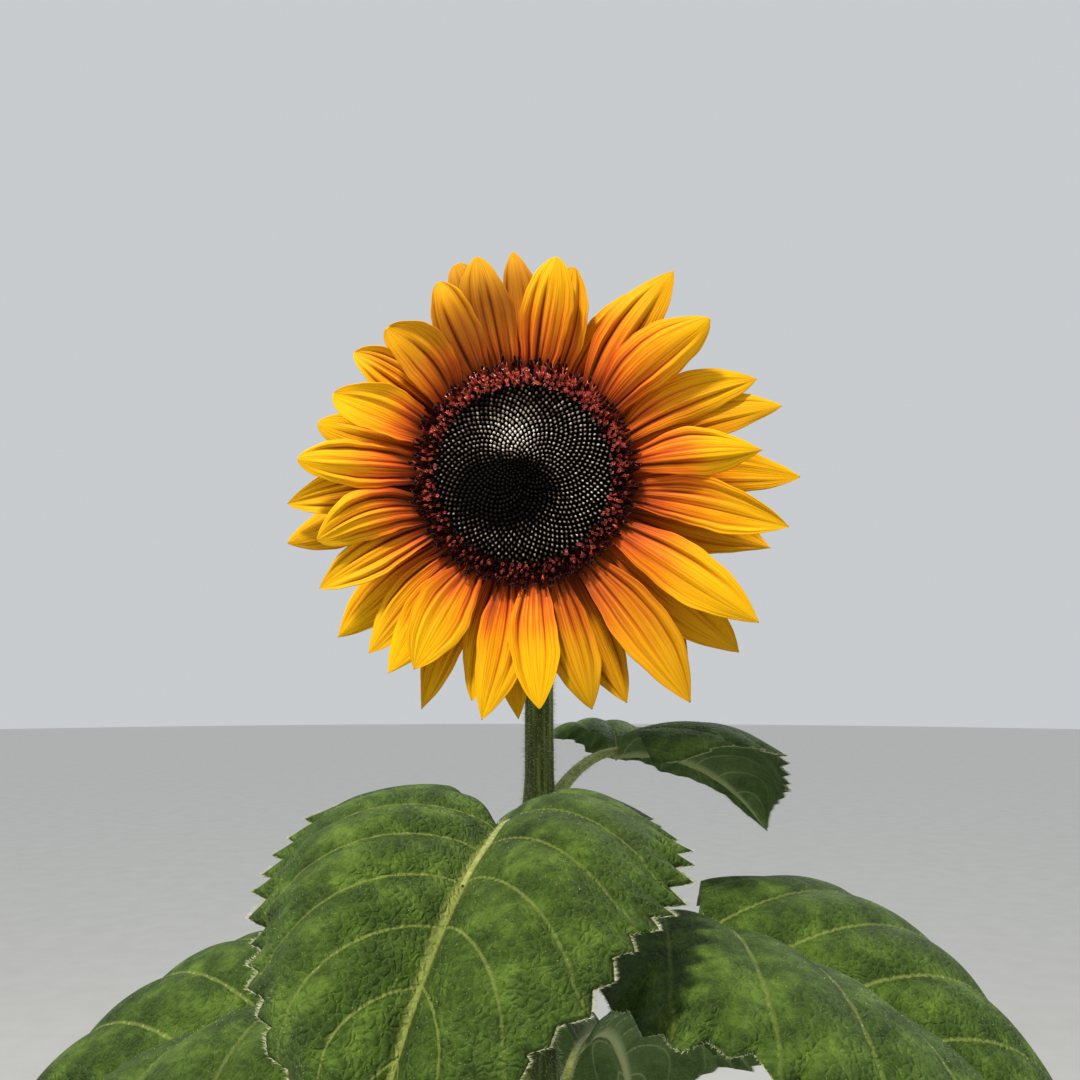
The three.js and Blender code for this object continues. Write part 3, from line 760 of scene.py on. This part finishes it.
# Brighter reds are dealt out by chance, more of them towards the top
mood = 0.1 + 1.15 * scattered(floret, 16) + 0.55 * np.sin(ring_turn) + 0.15 * np.cos(ring_turn)
mood = mood - np.where(stub, 0.9, 0)
red = np.digitize(-mood, [-0.35, 0.25])
tube_piece = make_copies("floret_tubes", open_tube(), ring_root, ring_axes, tube_sizes, RING_REDS, red)
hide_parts("floret_ring")
print("tubes by red", np.bincount(red))

# %% Their anthers
ANTHER = floret_tissue("anther_tube", "#0A0304", "#2E0C0E", 0.7, 0.05)
anther_shape = turned_shape([(0.42, 0), (0.44, 0.4), (0.5, 0.86), (0.3, 0.97), (0, 1.0)], 6)
open_root, open_axis, open_axes = ring_root[stub], ring_axis[stub], ring_axes[stub]
open_length = ring_length[stub]
reach = 1.2 + 0.8 * scattered(floret[stub], 17)
anther_roots = open_root + open_axis * (0.7 * open_length)[:, None]
anther_sizes = sized(1.15, 0.3 * open_length + reach)
anther_piece = make_copies("floret_anthers", anther_shape, anther_roots, open_axes, anther_sizes, [ANTHER])
print("anthers stand out by", np.round([reach.min(), reach.max()], 1), "mm")


# %% Their stigmas
def stigma_pair(rings=6, sides=4):
    """Two short branches that rise and curl apart through 150 degrees: a tube on an arc, and the same
    turned by half a circle."""
    bend = np.linspace(0, rad(150), rings)
    spine = np.stack([0.14 + 0.5 * (1 - np.cos(bend)), 0 * bend, 0.5 * np.sin(bend)], -1)
    out = np.stack([-np.cos(bend), 0 * bend, np.sin(bend)], -1)
    thick = 0.24 * (1 - 0.6 * bend / bend[-1])
    ring = around(circle(sides), out[:, None], np.array([0, -1.0, 0]))
    branch = capped(spine[:, None] + thick[:, None, None] * ring, spine[0], spine[-1])
    pair = np.concatenate([branch, branch * [-1, -1, 1]])
    return pair, [np.concatenate([f, f + len(branch)]) for f in tube_faces(rings, sides)]


STIGMA = floret_tissue("stigma", "#1A0809", "#4E1A18", 0.45, 0.3)
old = scattered(floret[stub], 18) > -0.2
top = (open_root + open_axis * (open_length + reach - 0.3)[:, None])[old]
stigma_sizes = sized(1.3, 1.3 + 0 * reach[old])
stigma_piece = make_copies("floret_stigmas", stigma_pair(), top, open_axes[old], stigma_sizes, [STIGMA])
print("florets with stigmas", old.sum())

# %% [markdown]
# ## Rays
# A ray is one long floret whose corolla is a strap: a thin, soft, silky sheet with two to five deep
# lengthwise furrows and many fine nerves. The sheet follows the solid's arc and outline. On top of
# that come the furrows, a roll of the edges, a slight twist and a sideways bow, all different from ray
# to ray, so no two look alike. One grid for each ray keeps them separate pieces.

# %% Where the rays stand
# From the front row to the back: the roots' height over the disc's foot, the slopes with which a ray
# leaves the root and ends, and for each ray its angle clockwise from the top, reach and half width
RAY_ROWS = [
    dict(root=3.4, leave=33, end=-8,
         rays=[(9.7, 99, 11.5), (52.3, 106, 13), (86, 107, 10.5), (123.4, 123.5, 12), (176.1, 106, 11),
               (209.1, 101, 13), (252.5, 98, 11.5), (274.1, 102, 10.5), (293.4, 94, 11), (318, 90, 11.5),
               (336.9, 96, 10)]),
    dict(root=1.0, leave=25, end=-10,
         rays=[(14.4, 98, 10), (37.8, 113, 11.5), (69, 113.5, 10.5), (102.8, 120, 11), (144.5, 126.5, 12),
               (164.2, 111, 11.5), (189.7, 112.5, 11), (214.4, 109.5, 11), (241.2, 107, 10), (306.4, 98, 10),
               (348.4, 103.5, 11.5)]),
    dict(root=-1.4, leave=17, end=-10,
         rays=[(76.5, 120, 10), (91.8, 124.5, 10), (130.5, 126.5, 12.5), (193.6, 106.5, 10),
               (221.4, 108.5, 10), (263.8, 111.5, 10.5), (284.9, 102, 9.5), (324.7, 87, 10),
               (342.8, 106, 10)]),
    dict(root=-3.8, leave=9, end=-10,
         rays=[(32.8, 100.5, 10), (60.9, 88, 10), (107.6, 117, 12), (139.4, 114, 11), (156.5, 115, 10.5),
               (182.3, 113.5, 9), (204.8, 120, 8.5), (230.3, 117.5, 12), (255.1, 117, 11.5),
               (357.2, 107.5, 9)]),
]
RAY_ROOT_RADIUS = 47.5
all_rays = sorted(((*measures, row) for row in RAY_ROWS for measures in row["rays"]), key=lambda r: r[0])
clocks = np.array([measures[0] for measures in all_rays])
between = (np.append(clocks[-1] - 360, clocks[:-1]) + np.append(clocks[1:], clocks[0] + 360)) / 2
root_drift = RAY_ROOT_RADIUS * np.radians(np.clip(0.45 * (between - clocks), -4, 4))
# Rays that would cut into the one behind them are held this much further forward, in mm
HELD_FORWARD = {5: 1.3, 9: 1.6, 29: 0.4, 32: 0.5, 34: 0.7, 36: 1.9}
print("rays", len(all_rays))


# %% The folds across a ray
def folds(number, u, v, half, count):
    """Lengthwise folds across a ray. Each is a sharp valley: steep on one side, up to a low ridge,
    and gentle on the other. Its strength rises and dies away along the ray by smooth steps. Gives
    the height as a share of the half width, and how near each point is to a valley, from 0 to 1."""
    height, valley = 0 * u * v, 0 * u * v
    for i in range(count):
        key = 9 * number + i
        middle = (1.72 * (i + 0.5) / count - 0.86 + 0.42 / count * scattered(key, 21)
                  + 0.14 * scattered(key, 41) * (u - 0.5))
        steep = 1 if scattered(key, 45) > 0 else -1
        starts, stops = 0.2 * max(0, scattered(key, 43)) - 0.06, 0.86 + 0.14 * scattered(key, 44)
        strength = 0.62 + 0.38 * scattered(key, 42)
        strength = strength * ease(starts - 0.12, starts + 0.14, u) * (1 - ease(stops - 0.22, stops + 0.1, u))
        aside = (v - middle) * steep
        height = height - strength * np.exp(-np.abs(aside) / np.where(aside > 0, 0.07, 0.24))
        height = height + 0.5 * strength * np.exp(-((aside - 0.17) / 0.10) ** 2)
        valley = np.maximum(valley, strength * np.exp(-((v - middle) * half / 0.5) ** 2))
    return height, valley


print("a fold's depth", np.round(folds(0, 0.5, np.linspace(-1, 1, 41), 10, 1)[0].min(), 2))


# %% One ray's surface
def ray_surface(number, clock, reach, half_width, row, rows=50, columns=69):
    """The spine is an arc from the root to the tip, and the root stands a little nearer to the middle
    between its neighbours than the tip does. The half width is a power of a sine. The sheet is folded
    lengthwise and along its middle, cupped by the square of the share, and wavy at its edges; it
    twists, and its middle bows sideways. Rays at the upper left are blunt and deeply folded, those at
    the lower right pointed and flatter, as they hang free and have opened further."""
    def chance(salt):
        """This ray's own number from -1 to 1."""
        return scattered(number, salt)

    u = 1 - np.linspace(1, 0, rows)[:, None] ** 1.25
    v = np.linspace(-1, 1, columns)[None]
    arch = np.sin(np.pi * u)
    turn = rad(clock)
    open_ = 0.5 - 0.5 * math.cos(turn - rad(320))
    leave, end = rad(row["leave"] + 1.5 * chance(2)), rad(row["end"] + 6 * chance(3))
    bend = end - leave
    length = (reach - RAY_ROOT_RADIUS) * bend / (math.sin(end) - math.sin(leave))
    pitch = leave + bend * u
    out = length * (np.sin(pitch) - math.sin(leave)) / bend
    rise = length * (math.cos(leave) - np.cos(pitch)) / bend

    # The outline
    skew = np.clip(u + 0.06 * chance(19) * v * arch, 0, 1)
    blunt = 0.6 + 0.36 * open_ + 0.14 * chance(20)
    half = half_width * 1.04 * np.maximum(0.02, np.sin(np.pi * (0.12 + 0.88 * skew ** 1.25))) ** blunt
    ripple = np.sin(2 * np.pi * (2.1 * u + chance(18))) + 0.5 * np.sin(2 * np.pi * (5.3 * u + chance(17)))
    half = half * (1 + 0.03 * ripple * v)
    half = np.maximum(half, 0.62 * half_width * (1 - 2.0 * u))

    # The relief, square to the spine
    count = int(np.clip(round(3.6 - 0.8 * open_ + 1.3 * chance(22)), 2, 5))
    height, valley = folds(number, u, v, half, count)
    depth = (0.2 - 0.06 * open_) * (1 + 0.3 * chance(23))
    cup = (0.10 - 0.16 * open_ + 0.22 * chance(24)) * half * (v * v - 0.3)
    edge = 0.35 * chance(25) * half * np.maximum(0, np.sign(chance(33)) * v - 0.62) ** 1.5
    wave = 0.9 * np.sin(2 * np.pi * (1.5 * u + chance(26)) + 0.9 * v) * np.abs(v) ** 3 * arch
    nerve = 0.035 * np.cos(np.pi * 17 * v) * (1 - u ** 6)
    keel = 0.3 * chance(37) * half * (np.sqrt(v * v + 0.03) - 0.45) * ease(0.05, 0.3, u)
    lift = depth * half * height + cup + edge + wave + nerve + keel

    # The twist, the bow and the tip's curl
    twist = rad(9) * chance(27) * u
    middle = (3.2 * chance(28) - 2.6 * math.sin(turn)) * arch + root_drift[number] * (1 - u) ** 2
    across = middle + half * v * np.cos(twist)
    lift = lift + half * v * np.sin(twist)
    curl = 2.4 * chance(29) * np.maximum(0, u - 0.7) ** 2 / 0.09
    curl = curl + (1.5 - 2.5 * math.cos(turn)) * np.maximum(0, u - 0.45) ** 2 / 0.3
    held = HELD_FORWARD.get(number + 1, 0) * ease(0, 0.35, u)
    along = RAY_ROOT_RADIUS + out - np.sin(pitch) * lift
    height = row["root"] + rise + held + np.cos(pitch) * (lift + curl)
    points = on_clock(turn, along, across, height)
    return points, u + 0 * v, v + 0 * u, valley * (1 - 0.4 * open_ * ease(0.15, 0.5, u))


print("the first ray's tip", np.round(ray_surface(0, *all_rays[0])[0][-1].mean(0), 1))

# %% [markdown]
# ## Ray tissue
# A ray's corolla is petal tissue: silky, with a soft gloss. Its pigment changes along it, from deep
# red-brown at the root through orange to a full golden yellow beyond the middle. Red runs further
# out along the nerves, 0.8 mm apart, and painted shade makes the creases darker and redder. The rays
# low on the right and behind, and a band on the topmost ones, are browner with painted shade, as if
# in the shadow of the rays in front and turned from the light; each ray's tone also differs a little
# by chance. The back is duller and a little green.

# %% Ray materials
def ray_tissue(name, stops, painted_crease_shade, weight):
    """A ripeness from 0 at the root to 1 at the tip, shaken by the nerves and by soft clouds and
    lowered in the furrows as painted shade, picks the pigment. Brown lies over it: in the streaks
    between nerves, as painted shade with a little random tone by an attribute, and as painted
    shade in the creases."""
    tissue = Tissue(name)
    flat = tissue.add("UVMap", {"uv_map": "UVMap"}).outputs["UV"]
    nerves = tissue.noise(tissue.mapped(flat, (1.8, 27.0, 1.0)), 1.0, 3.0, 0.6)
    cloud = tissue.noise(tissue.place, 34.0)
    furrow = tissue.add("Attribute", {"attribute_name": "furrow"}).outputs["Fac"]
    painted_shading_and_tone = tissue.add("Attribute", {"attribute_name": "painted_shading_and_tone"}).outputs["Fac"]
    ripeness = tissue.add("SeparateXYZ", None, {"Vector": flat}).outputs["X"]
    # The furrows lower the ripeness: painted shade, darker and redder in the creases
    for shift in (tissue.remap(nerves, 0.25, 0.75, -0.2, 0.2), tissue.remap(cloud, 0.3, 0.7, -0.08, 0.08),
                  tissue.maths("MULTIPLY", furrow, -0.36)):
        ripeness = tissue.maths("ADD", ripeness, shift)
    tint = tissue.mix(tissue.remap(nerves, 0.34, 0.52, 0.5, 0.0), tissue.ramp(ripeness, stops), "#B0640E")
    # Painted shade: the brown laid on by the attribute, with some random tone
    tint = tissue.mix(painted_shading_and_tone, tint, "#8A4814")
    # Painted shade: the crease colour laid in the furrows
    tint = tissue.mix(tissue.maths("MULTIPLY", furrow, weight), tint, painted_crease_shade)
    return tissue.finished(tint, 0.6, 0.1, nerves, 0.5, 0.0006)


FACE_STOPS = [(0.0, "#3C0A07"), (0.09, "#84200F"), (0.17, "#C04419"), (0.26, "#DC6414"),
              (0.38, "#EE8A0E"), (0.51, "#F5A808"), (0.72, "#FABB04"), (0.95, "#FAC206")]
BACK_STOPS = [(0.04, "#8A7A2A"), (0.25, "#C88E1C"), (0.6, "#DB9E14"), (0.95, "#E4AC12")]
# The crease colours are painted shade in the furrows
RAY_FACE = ray_tissue("ray_face", FACE_STOPS, "#4A1C06", 0.82)
RAY_BACK = ray_tissue("ray_back", BACK_STOPS, "#9A5A12", 0.3)
print("ray materials", RAY_FACE.name, RAY_BACK.name)

# %% Build the rays
for number, (clock, reach_mm, half_width, row) in enumerate(all_rays):
    surface, along, across, furrow = ray_surface(number, clock, reach_mm, half_width, row)
    points, upper, lower, rim = thin_sheet(surface, 0.28 + 0.3 * (1 - along), -1)
    # The topmost rays stay orange further out: partly their own colour, partly painted shade where they are
    # turned from the light
    upper_side = 0.5 + 0.5 * math.cos(rad(clock - 20))
    ripeness_and_painted_light = (0.01 + 0.03 * upper_side + along * (1 - 0.28 * upper_side)
            + 0.015 * math.cos(rad(clock - 80)) + 0.03 * scattered(number, 36))
    uv = np.stack([ripeness_and_painted_light.ravel(), across.ravel() * 0.5 + 0.5 + 3 * number], -1)
    # Painted shade with a little random tone: browner rays low on the right and in the back rows, in the
    # shadow of those in front, and a band along the topmost rays, turned from the light above
    behind = (3.4 - row["root"]) / 7.2
    low_right = math.exp(-((clock - 145) / 30) ** 2)
    topmost = math.exp(-(((clock + 197) % 360 - 180) / 24) ** 2)
    band = np.exp(-((along - 0.48 - 0.2 * behind) / 0.32) ** 2)
    painted_shading_and_tone = 0.12 + 0.12 * scattered(number, 38) + 0.42 * (0.35 + 0.65 * behind) * low_right
    painted_shading_and_tone = (painted_shading_and_tone + (0.6 + 0.15 * behind) * topmost * band).ravel()
    node = f"ray_{number + 1:02d}"
    ray = make_piece(node + "_petal", on_bloom(points), [upper, lower, rim], [RAY_FACE, RAY_BACK],
                     face_material=np.repeat([0, 1, 0], [len(upper), len(lower), len(rim)]),
                     uv=np.concatenate([uv, uv]),
                     values={"furrow": np.tile(furrow.ravel(), 2), "painted_shading_and_tone": np.concatenate([painted_shading_and_tone, 0.4 * painted_shading_and_tone])})
    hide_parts(node)
print("ray pieces", len(all_rays), "of", len(ray.data.polygons), "faces")

# %% [markdown]
# ## Leaves
# A sunflower's leaf is a broad heart with a toothed margin on a long stalk, the petiole. The midrib
# runs from its base to the tip and side veins leave it at an even spacing; the tissue between them
# puffs up. The blade is one grid that follows the solid's arch and fold. Its teeth are a saw wave in
# the width, and its relief is a wave whose valleys are the veins, which the material's pale vein lines
# follow by the same formula. The underside is a second grid, with the veins standing out as ribs.

# %% One leaf's measures
VEINS, VEIN_SWEEP, TEETH = 7.0, 0.34, 17
BLADE_ROWS, BLADE_COLUMNS = 120, 61
PETIOLE_ROWS, PETIOLE_COLUMNS = 46, 18


def leaf_plan(k):
    """Where leaf k stands, which way it points and how it bends, as in the solids. Its length is a
    sine of its place in the spiral, so that the middle leaves are the longest."""
    height = leaf_heights[k:k + 1]
    turn = rad(122 - GOLDEN_ANGLE * k + 12 * scattered(k, 4))
    length = 118 + 144 * math.sin(math.pi * (k + 1) / (LEAF_COUNT + 1))
    outward = np.array([math.sin(turn), -math.cos(turn), 0])
    plan = dict(number=k, length=length, half=length * 0.5 * (1 + 0.06 * scattered(k, 5)), outward=outward,
                side=np.array([math.cos(turn), math.sin(turn), 0]), petiole=0.36 * length,
                rise=rad(50 + 5 * scattered(k, 6)), shoulder=rad(-2 - 6 * scattered(k, 7)),
                droop=rad(-54 - 1.6 * k + 7 * scattered(k, 8)), fold=0.87 + 0.12 * scattered(k, 9))
    plan["origin"] = stalk_centre(height)[0] + outward * (stalk_radius(height)[0] + SEAM)
    plan["base"], _ = petiole_arc(plan, np.array(plan["petiole"]))
    return plan


def arc(origin, outward, start, end, length, distance):
    """A point on an arc in the leaf's upright plane whose pitch goes from start to end over length."""
    bend = (end - start) / length
    pitch = start + bend * distance
    out, rise = (np.sin(pitch) - math.sin(start)) / bend, (math.cos(start) - np.cos(pitch)) / bend
    return origin + out[..., None] * outward + rise[..., None] * UP, pitch


def petiole_arc(plan, distance):
    """The petiole's middle: it rises from the stalk and levels out at the shoulder."""
    return arc(plan["origin"], plan["outward"], plan["rise"], plan["shoulder"], plan["petiole"], distance)


def blade_arc(plan, distance):
    """The midrib: it goes on from the shoulder and droops."""
    return arc(plan["base"], plan["outward"], plan["shoulder"], plan["droop"], plan["length"], distance)


print("blades are", [round(leaf_plan(k)["length"]) for k in range(LEAF_COUNT)], "mm long")


# %% The blade
def blade_surface(plan):
    """The upper side: an arched and folded heart. Lift is in the direction square to the midrib. The
    vein phase is a whole number on a side vein: they leave the midrib 1/VEINS apart and sweep forwards."""
    u = np.linspace(0, 1, BLADE_ROWS)[:, None]
    v = np.linspace(-1, 1, BLADE_COLUMNS)[None]
    spread = np.abs(v)
    k, length, half, fold = plan["number"], plan["length"], plan["half"], plan["fold"]
    taper = 1 - ease(0.7, 1, u)
    outline = np.maximum(0.012, np.sin(np.pi * (0.2 + 0.8 * u ** 0.75))) * (0.6 + 0.4 * taper)
    phase = (u * TEETH) % 1
    saw = np.where(phase < 0.74, -1 + 2 * phase / 0.74, 1 - 2 * (phase - 0.74) / 0.26)
    saw = saw * np.clip(np.minimum(7 * u, 5 * (1 - u)), 0, 1)
    uneven = scattered(np.floor(u * TEETH) + 31 * k, 30)
    width = half * outline * (1 + 0.05 * saw * spread ** 8 + 0.025 * uneven * spread ** 6)
    back = 0.1 * length * spread ** 1.4 * (1 - u) ** 3
    spine, pitch = blade_arc(plan, length * u - back)
    wave = 0.05 * half * np.sin(9 * u + 1.6 * k + v) * spread ** 2
    wave = wave + 0.02 * half * np.sin(23 * u + k + 2 * v) * spread ** 4
    lift = half * (0.35 * taper + 0.65 * outline) * (fold * spread - 0.98 * fold * spread ** 2) + wave * taper
    beat = np.abs(np.sin(np.pi * VEINS * (u - VEIN_SWEEP * spread ** 0.9))) ** 0.7
    middle = np.exp(-(spread * outline / 0.05) ** 2)
    inside = np.clip(6 * (1 - u), 0, 1) * np.clip(12 * spread, 0, 1)
    puff = length / 200 * 3.2 * beat * (1 - 0.45 * spread ** 2) * (1 - middle) * inside
    lift = lift + puff - 1.6 * middle * (1 - u) ** 0.5
    square = around(pitch, UP, -plan["outward"])
    points = spine + (width * v)[..., None] * plan["side"] + lift[..., None] * square
    thickness = 0.45 + 2.6 * middle * (1 - u) ** 0.8 + 0.9 * (1 - beat) ** 3 * (1 - spread) * (1 - u)
    return points, u + 0 * v, v + 0 * u, thickness


print("thickest at the midrib", round(blade_surface(leaf_plan(0))[3].max(), 2), "mm")


# %% The petiole
def petiole_tube(plan):
    """A limb along the petiole and on under the blade as the midrib: its radius shrinks evenly, it
    widens where it leaves the stalk, and a groove runs along its top."""
    total = plan["petiole"] + 0.3 * plan["length"]
    distance = np.linspace(-4.5, total, PETIOLE_ROWS)
    beyond = distance - plan["petiole"]
    first, _ = petiole_arc(plan, np.minimum(distance, plan["petiole"]))
    later, _ = blade_arc(plan, np.maximum(beyond, 0))
    centre = np.where((beyond <= 0)[:, None], first, later)
    up = np.cross(unit(np.gradient(centre, axis=0)), plan["side"][None])
    radius = 3.5 * (1 - 0.62 * np.maximum(distance, 0) / total)
    radius = radius + 2.6 * np.exp(-np.maximum(distance + 1, 0) / 5)
    turn = circle(PETIOLE_COLUMNS)[None]
    groove = 1 - 0.22 * np.exp(-((turn - np.pi / 2) / 0.5) ** 2) + 0.03 * np.cos(6 * turn)
    ring = around(turn, plan["side"], up[:, None])
    sink = np.clip(beyond / 20, 0, 1)[:, None, None] * up[:, None] * 1.2
    return centre[:, None] + (radius[:, None] * groove)[..., None] * ring - sink, centre


print("rings and columns of a petiole", petiole_tube(leaf_plan(0))[0].shape[:2])

# %% The places of one leaf's hairs
HAIR_COUNTS = MARGIN_HAIRS, FACE_HAIRS, PETIOLE_HAIRS = 2500, 800, 500
HAIR_LENGTHS = 2.1, 0.8, 1.8


def leaf_hair_places(surface, side, tube, centre, seed):
    """Roots, directions and lengths of hairs, dealt out by chance: first on the margin, then on the
    upper side and last on the petiole, clear of the blade's two ends."""
    rng = np.random.default_rng(seed)
    row = rng.integers(3, BLADE_ROWS - 2, MARGIN_HAIRS)
    column = rng.choice([0, BLADE_COLUMNS - 1], MARGIN_HAIRS)
    step = rng.uniform(0, 1, (MARGIN_HAIRS, 1))
    edge = surface[row, column] * (1 - step) + surface[row - 1, column] * step
    raised = rng.uniform(-0.2, 0.7, (MARGIN_HAIRS, 1))
    away = np.where(column > 0, 1, -1)[:, None] * side + raised * UP
    row, column = rng.integers(2, BLADE_ROWS - 8, FACE_HAIRS), rng.integers(2, BLADE_COLUMNS - 3, FACE_HAIRS)
    place = surface[row, column]
    up = unit(np.cross(surface[row + 1, column] - place, surface[row, column + 1] - place))
    up = up * np.sign(up[:, 2:])
    ring = rng.integers(2, PETIOLE_ROWS - 14, PETIOLE_HAIRS)
    skin_roots = tube[ring, rng.integers(0, PETIOLE_COLUMNS, PETIOLE_HAIRS)]
    return (np.concatenate([edge, place, skin_roots]),
            np.concatenate([away, up, unit(skin_roots - centre[ring])]),
            np.repeat(HAIR_LENGTHS, HAIR_COUNTS))


print("hairs on a leaf", sum(HAIR_COUNTS))

# %% [markdown]
# ## Leaf tissue
# The upper side is rough green leaf tissue: dark, with puckered cells about 3 mm wide between a net
# of fine veins, short stiff hairs whose pale bases show as specks 1 mm apart, with a painted glint
# in them, and paler main veins.
# The underside is paler and softer. Petioles are pale green and ribbed. The vein lines come from the
# grid's own map, in the same shares as the relief.

# %% Leaf materials
def leaf_tissue(name, greens, vein, roughness, strength):
    """The map's first share runs from base to tip and its second from margin to margin. Midrib, side
    veins and a net of bent cells make the veins; cell domes, noise and specks make the bump."""
    tissue = Tissue(name)
    maths, place = tissue.maths, tissue.place
    flat = tissue.add("UVMap", {"uv_map": "UVMap"}).outputs["UV"]
    split = tissue.add("SeparateXYZ", None, {"Vector": flat})
    spread = maths("ABSOLUTE", maths("MULTIPLY_ADD", split.outputs["Y"], 2.0, -1.0))
    sweep = maths("MULTIPLY", maths("POWER", spread, 0.9), -VEIN_SWEEP)
    phase = maths("MULTIPLY", maths("ADD", split.outputs["X"], sweep), VEINS)
    side_vein = tissue.remap(maths("PINGPONG", phase, 0.5), 0.01, 0.042, 1.0, 0.0)
    side_vein = maths("MULTIPLY", side_vein, maths("MULTIPLY_ADD", spread, -0.5, 0.72))
    midrib = tissue.remap(spread, 0.01, 0.04, 0.95, 0.0)
    shift = tissue.noise(place, 120.0, output="Color")
    reach = (0.006, 0.006, 0.006)
    bent = tissue.add("VectorMath", {"operation": "MULTIPLY_ADD"}, {0: shift, 1: reach, 2: place})
    edge = tissue.cells(bent.outputs["Vector"], 300.0, "DISTANCE_TO_EDGE")
    veins = maths("MAXIMUM", maths("MAXIMUM", side_vein, midrib), tissue.remap(edge, 0.0, 0.12, 0.1, 0.0))
    # The specks are the hairs' pale bases, with a painted glint
    speck = tissue.ramp(tissue.cells(place, 820.0), [(0.1, 0.5), (0.26, 0.0)])
    tint = tissue.ramp(tissue.noise(place, 60.0, 7.0, 0.7), list(zip((0.32, 0.5, 0.7), greens)))
    tint = tissue.mix(veins, tissue.mix(speck, tint, "#8C9C50"), vein)
    relief = maths("ADD", tissue.noise(place, 420.0, 5.0, 0.75), tissue.remap(edge, 0.0, 0.3, 0.0, 0.45))
    relief = maths("SUBTRACT", relief, maths("MULTIPLY", side_vein, 0.35))
    relief = maths("MULTIPLY_ADD", speck, 0.2, relief)
    return tissue.finished(tint, roughness, 0.22, relief, strength, 0.003)


LEAF_UPPER = leaf_tissue("leaf_upper", ("#233A0E", "#42601C", "#6F9034"), "#9CAC58", 0.6, 1.0)
LEAF_UNDER = leaf_tissue("leaf_under", ("#445F30", "#58743E", "#6E8A50"), "#A9B67E", 0.7, 0.5)


def petiole_skin():
    """Petiole skin: pale, juicy green stem tissue, mottled in spots about 2 mm wide."""
    tissue = Tissue("petiole_skin")
    spots = tissue.noise(tissue.place, 480.0, 3.0)
    tint = tissue.ramp(spots, [(0.35, "#76843E"), (0.65, "#9FA864")])
    return tissue.finished(tint, 0.55, 0.5, spots, 0.3, 0.0003)


PETIOLE_SKIN = petiole_skin()
print("leaf materials", LEAF_UPPER.name, LEAF_UNDER.name, PETIOLE_SKIN.name)

# %% Build the leaves
hair_groups = []
for k in range(LEAF_COUNT):
    plan = leaf_plan(k)
    surface, along, across, thickness = blade_surface(plan)
    points, upper, lower, rim = thin_sheet(surface, thickness, 1)
    tube, centre = petiole_tube(plan)
    tube_points = capped(tube, centre[0], centre[-1])
    tube_skin = tube_faces(PETIOLE_ROWS, PETIOLE_COLUMNS, start=len(points))
    faces = [upper, lower, rim] + [f[:, ::-1] for f in tube_skin]
    uv = np.stack([along.ravel(), across.ravel() * 0.5 + 0.5], -1)
    uv = np.concatenate([uv, uv, np.full((len(tube_points), 2), 0.5)])
    node = f"leaf_{k + 1:02d}"
    leaf = make_piece(node + "_blade", np.concatenate([points, tube_points]), faces,
                      [LEAF_UPPER, LEAF_UNDER, PETIOLE_SKIN], uv=uv,
                      face_material=np.repeat([0, 1, 1, 2, 2], [len(f) for f in faces]))
    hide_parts(node)

    hair_groups.append(leaf_hair_places(surface, plan["side"], tube, centre, seed=50 + k))
print("leaves", LEAF_COUNT, "of", len(leaf.data.polygons), "faces")

# %% Join the leaves' hairs
roots, away, long = (np.concatenate([group[i] for group in hair_groups]) for i in range(3))
leaf_points, leaf_spikes = hairs(roots, away, length=long, width=0.1, droop=0.0, seed=10)
leaf_hair = make_piece("leaf_hairs", leaf_points, leaf_spikes, [PLANT_HAIR])
print("leaf hairs", len(roots))

# %% [markdown]
# ## Floor and light
# A plain pale floor and a pale world keep the plant clear of any background. The light is that of a
# studio: one soft lamp high above, a little in front and to the left, where the sun stands over a plant
# in a field, and a weak one behind for the leaves' edges. The pale world fills the shadows.

# %% Floor, world and lamps
def plain_floor():
    """Matt pale paint with a faint mottle about 170 mm wide."""
    paint = Tissue("painted_floor")
    tint = paint.ramp(paint.noise(paint.place, 6.0, 3.0), [(0.3, "#D8D8D4"), (0.7, "#DEDEDA")])
    return paint.finished(tint, 0.85)


FLOOR_RADIUS, FLOOR_LEVEL, FLOOR_SIDES = 40000, -0.5, 64
floor_points = np.concatenate([[[0, 0, FLOOR_LEVEL]], turned(FLOOR_RADIUS, circle(FLOOR_SIDES), FLOOR_LEVEL)])
corner = np.arange(FLOOR_SIDES)
floor_faces = np.stack([0 * corner, corner + 1, (corner + 1) % FLOOR_SIDES + 1], -1)
floor = in_scene("floor", make_mesh("floor", floor_points, [floor_faces], [plain_floor()]))

world = bpy.data.worlds.new("studio")
bpy.context.scene.world = world
world.use_nodes = True
sky = world.node_tree.nodes["Background"].inputs
sky["Color"].default_value = colour("#EEF1F4")
sky["Strength"].default_value = 0.68


def lamp(name, place, target, size, watts, tint):
    """A square soft lamp at place that faces target."""
    data = bpy.data.lights.new(name, "AREA")
    data.size, data.energy, data.color = size, watts, colour(tint)[:3]
    item = in_scene(name, data)
    item.location = place
    aim = np.array(target) - np.array(place)
    flat = math.hypot(aim[0], aim[1])
    item.rotation_euler = (math.atan2(flat, -aim[2]), 0, math.atan2(aim[1], aim[0]) - math.pi / 2)
    return item


lamp("key", (-1.0, -1.8, 4.15), (0, 0, 1.5), 0.35, 158, "#FFF4E2")
lamp("back", (1.0, 2.6, 2.6), (0, 0, 1.3), 1.6, 14, "#FFFFFF")
print("lamps set")

# %% Sizes and finish
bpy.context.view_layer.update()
shown = [item.data for item in bpy.data.objects if item.type == "MESH"]
print("triangles", sum(len(face.vertices) - 2 for mesh in shown for face in mesh.polygons))
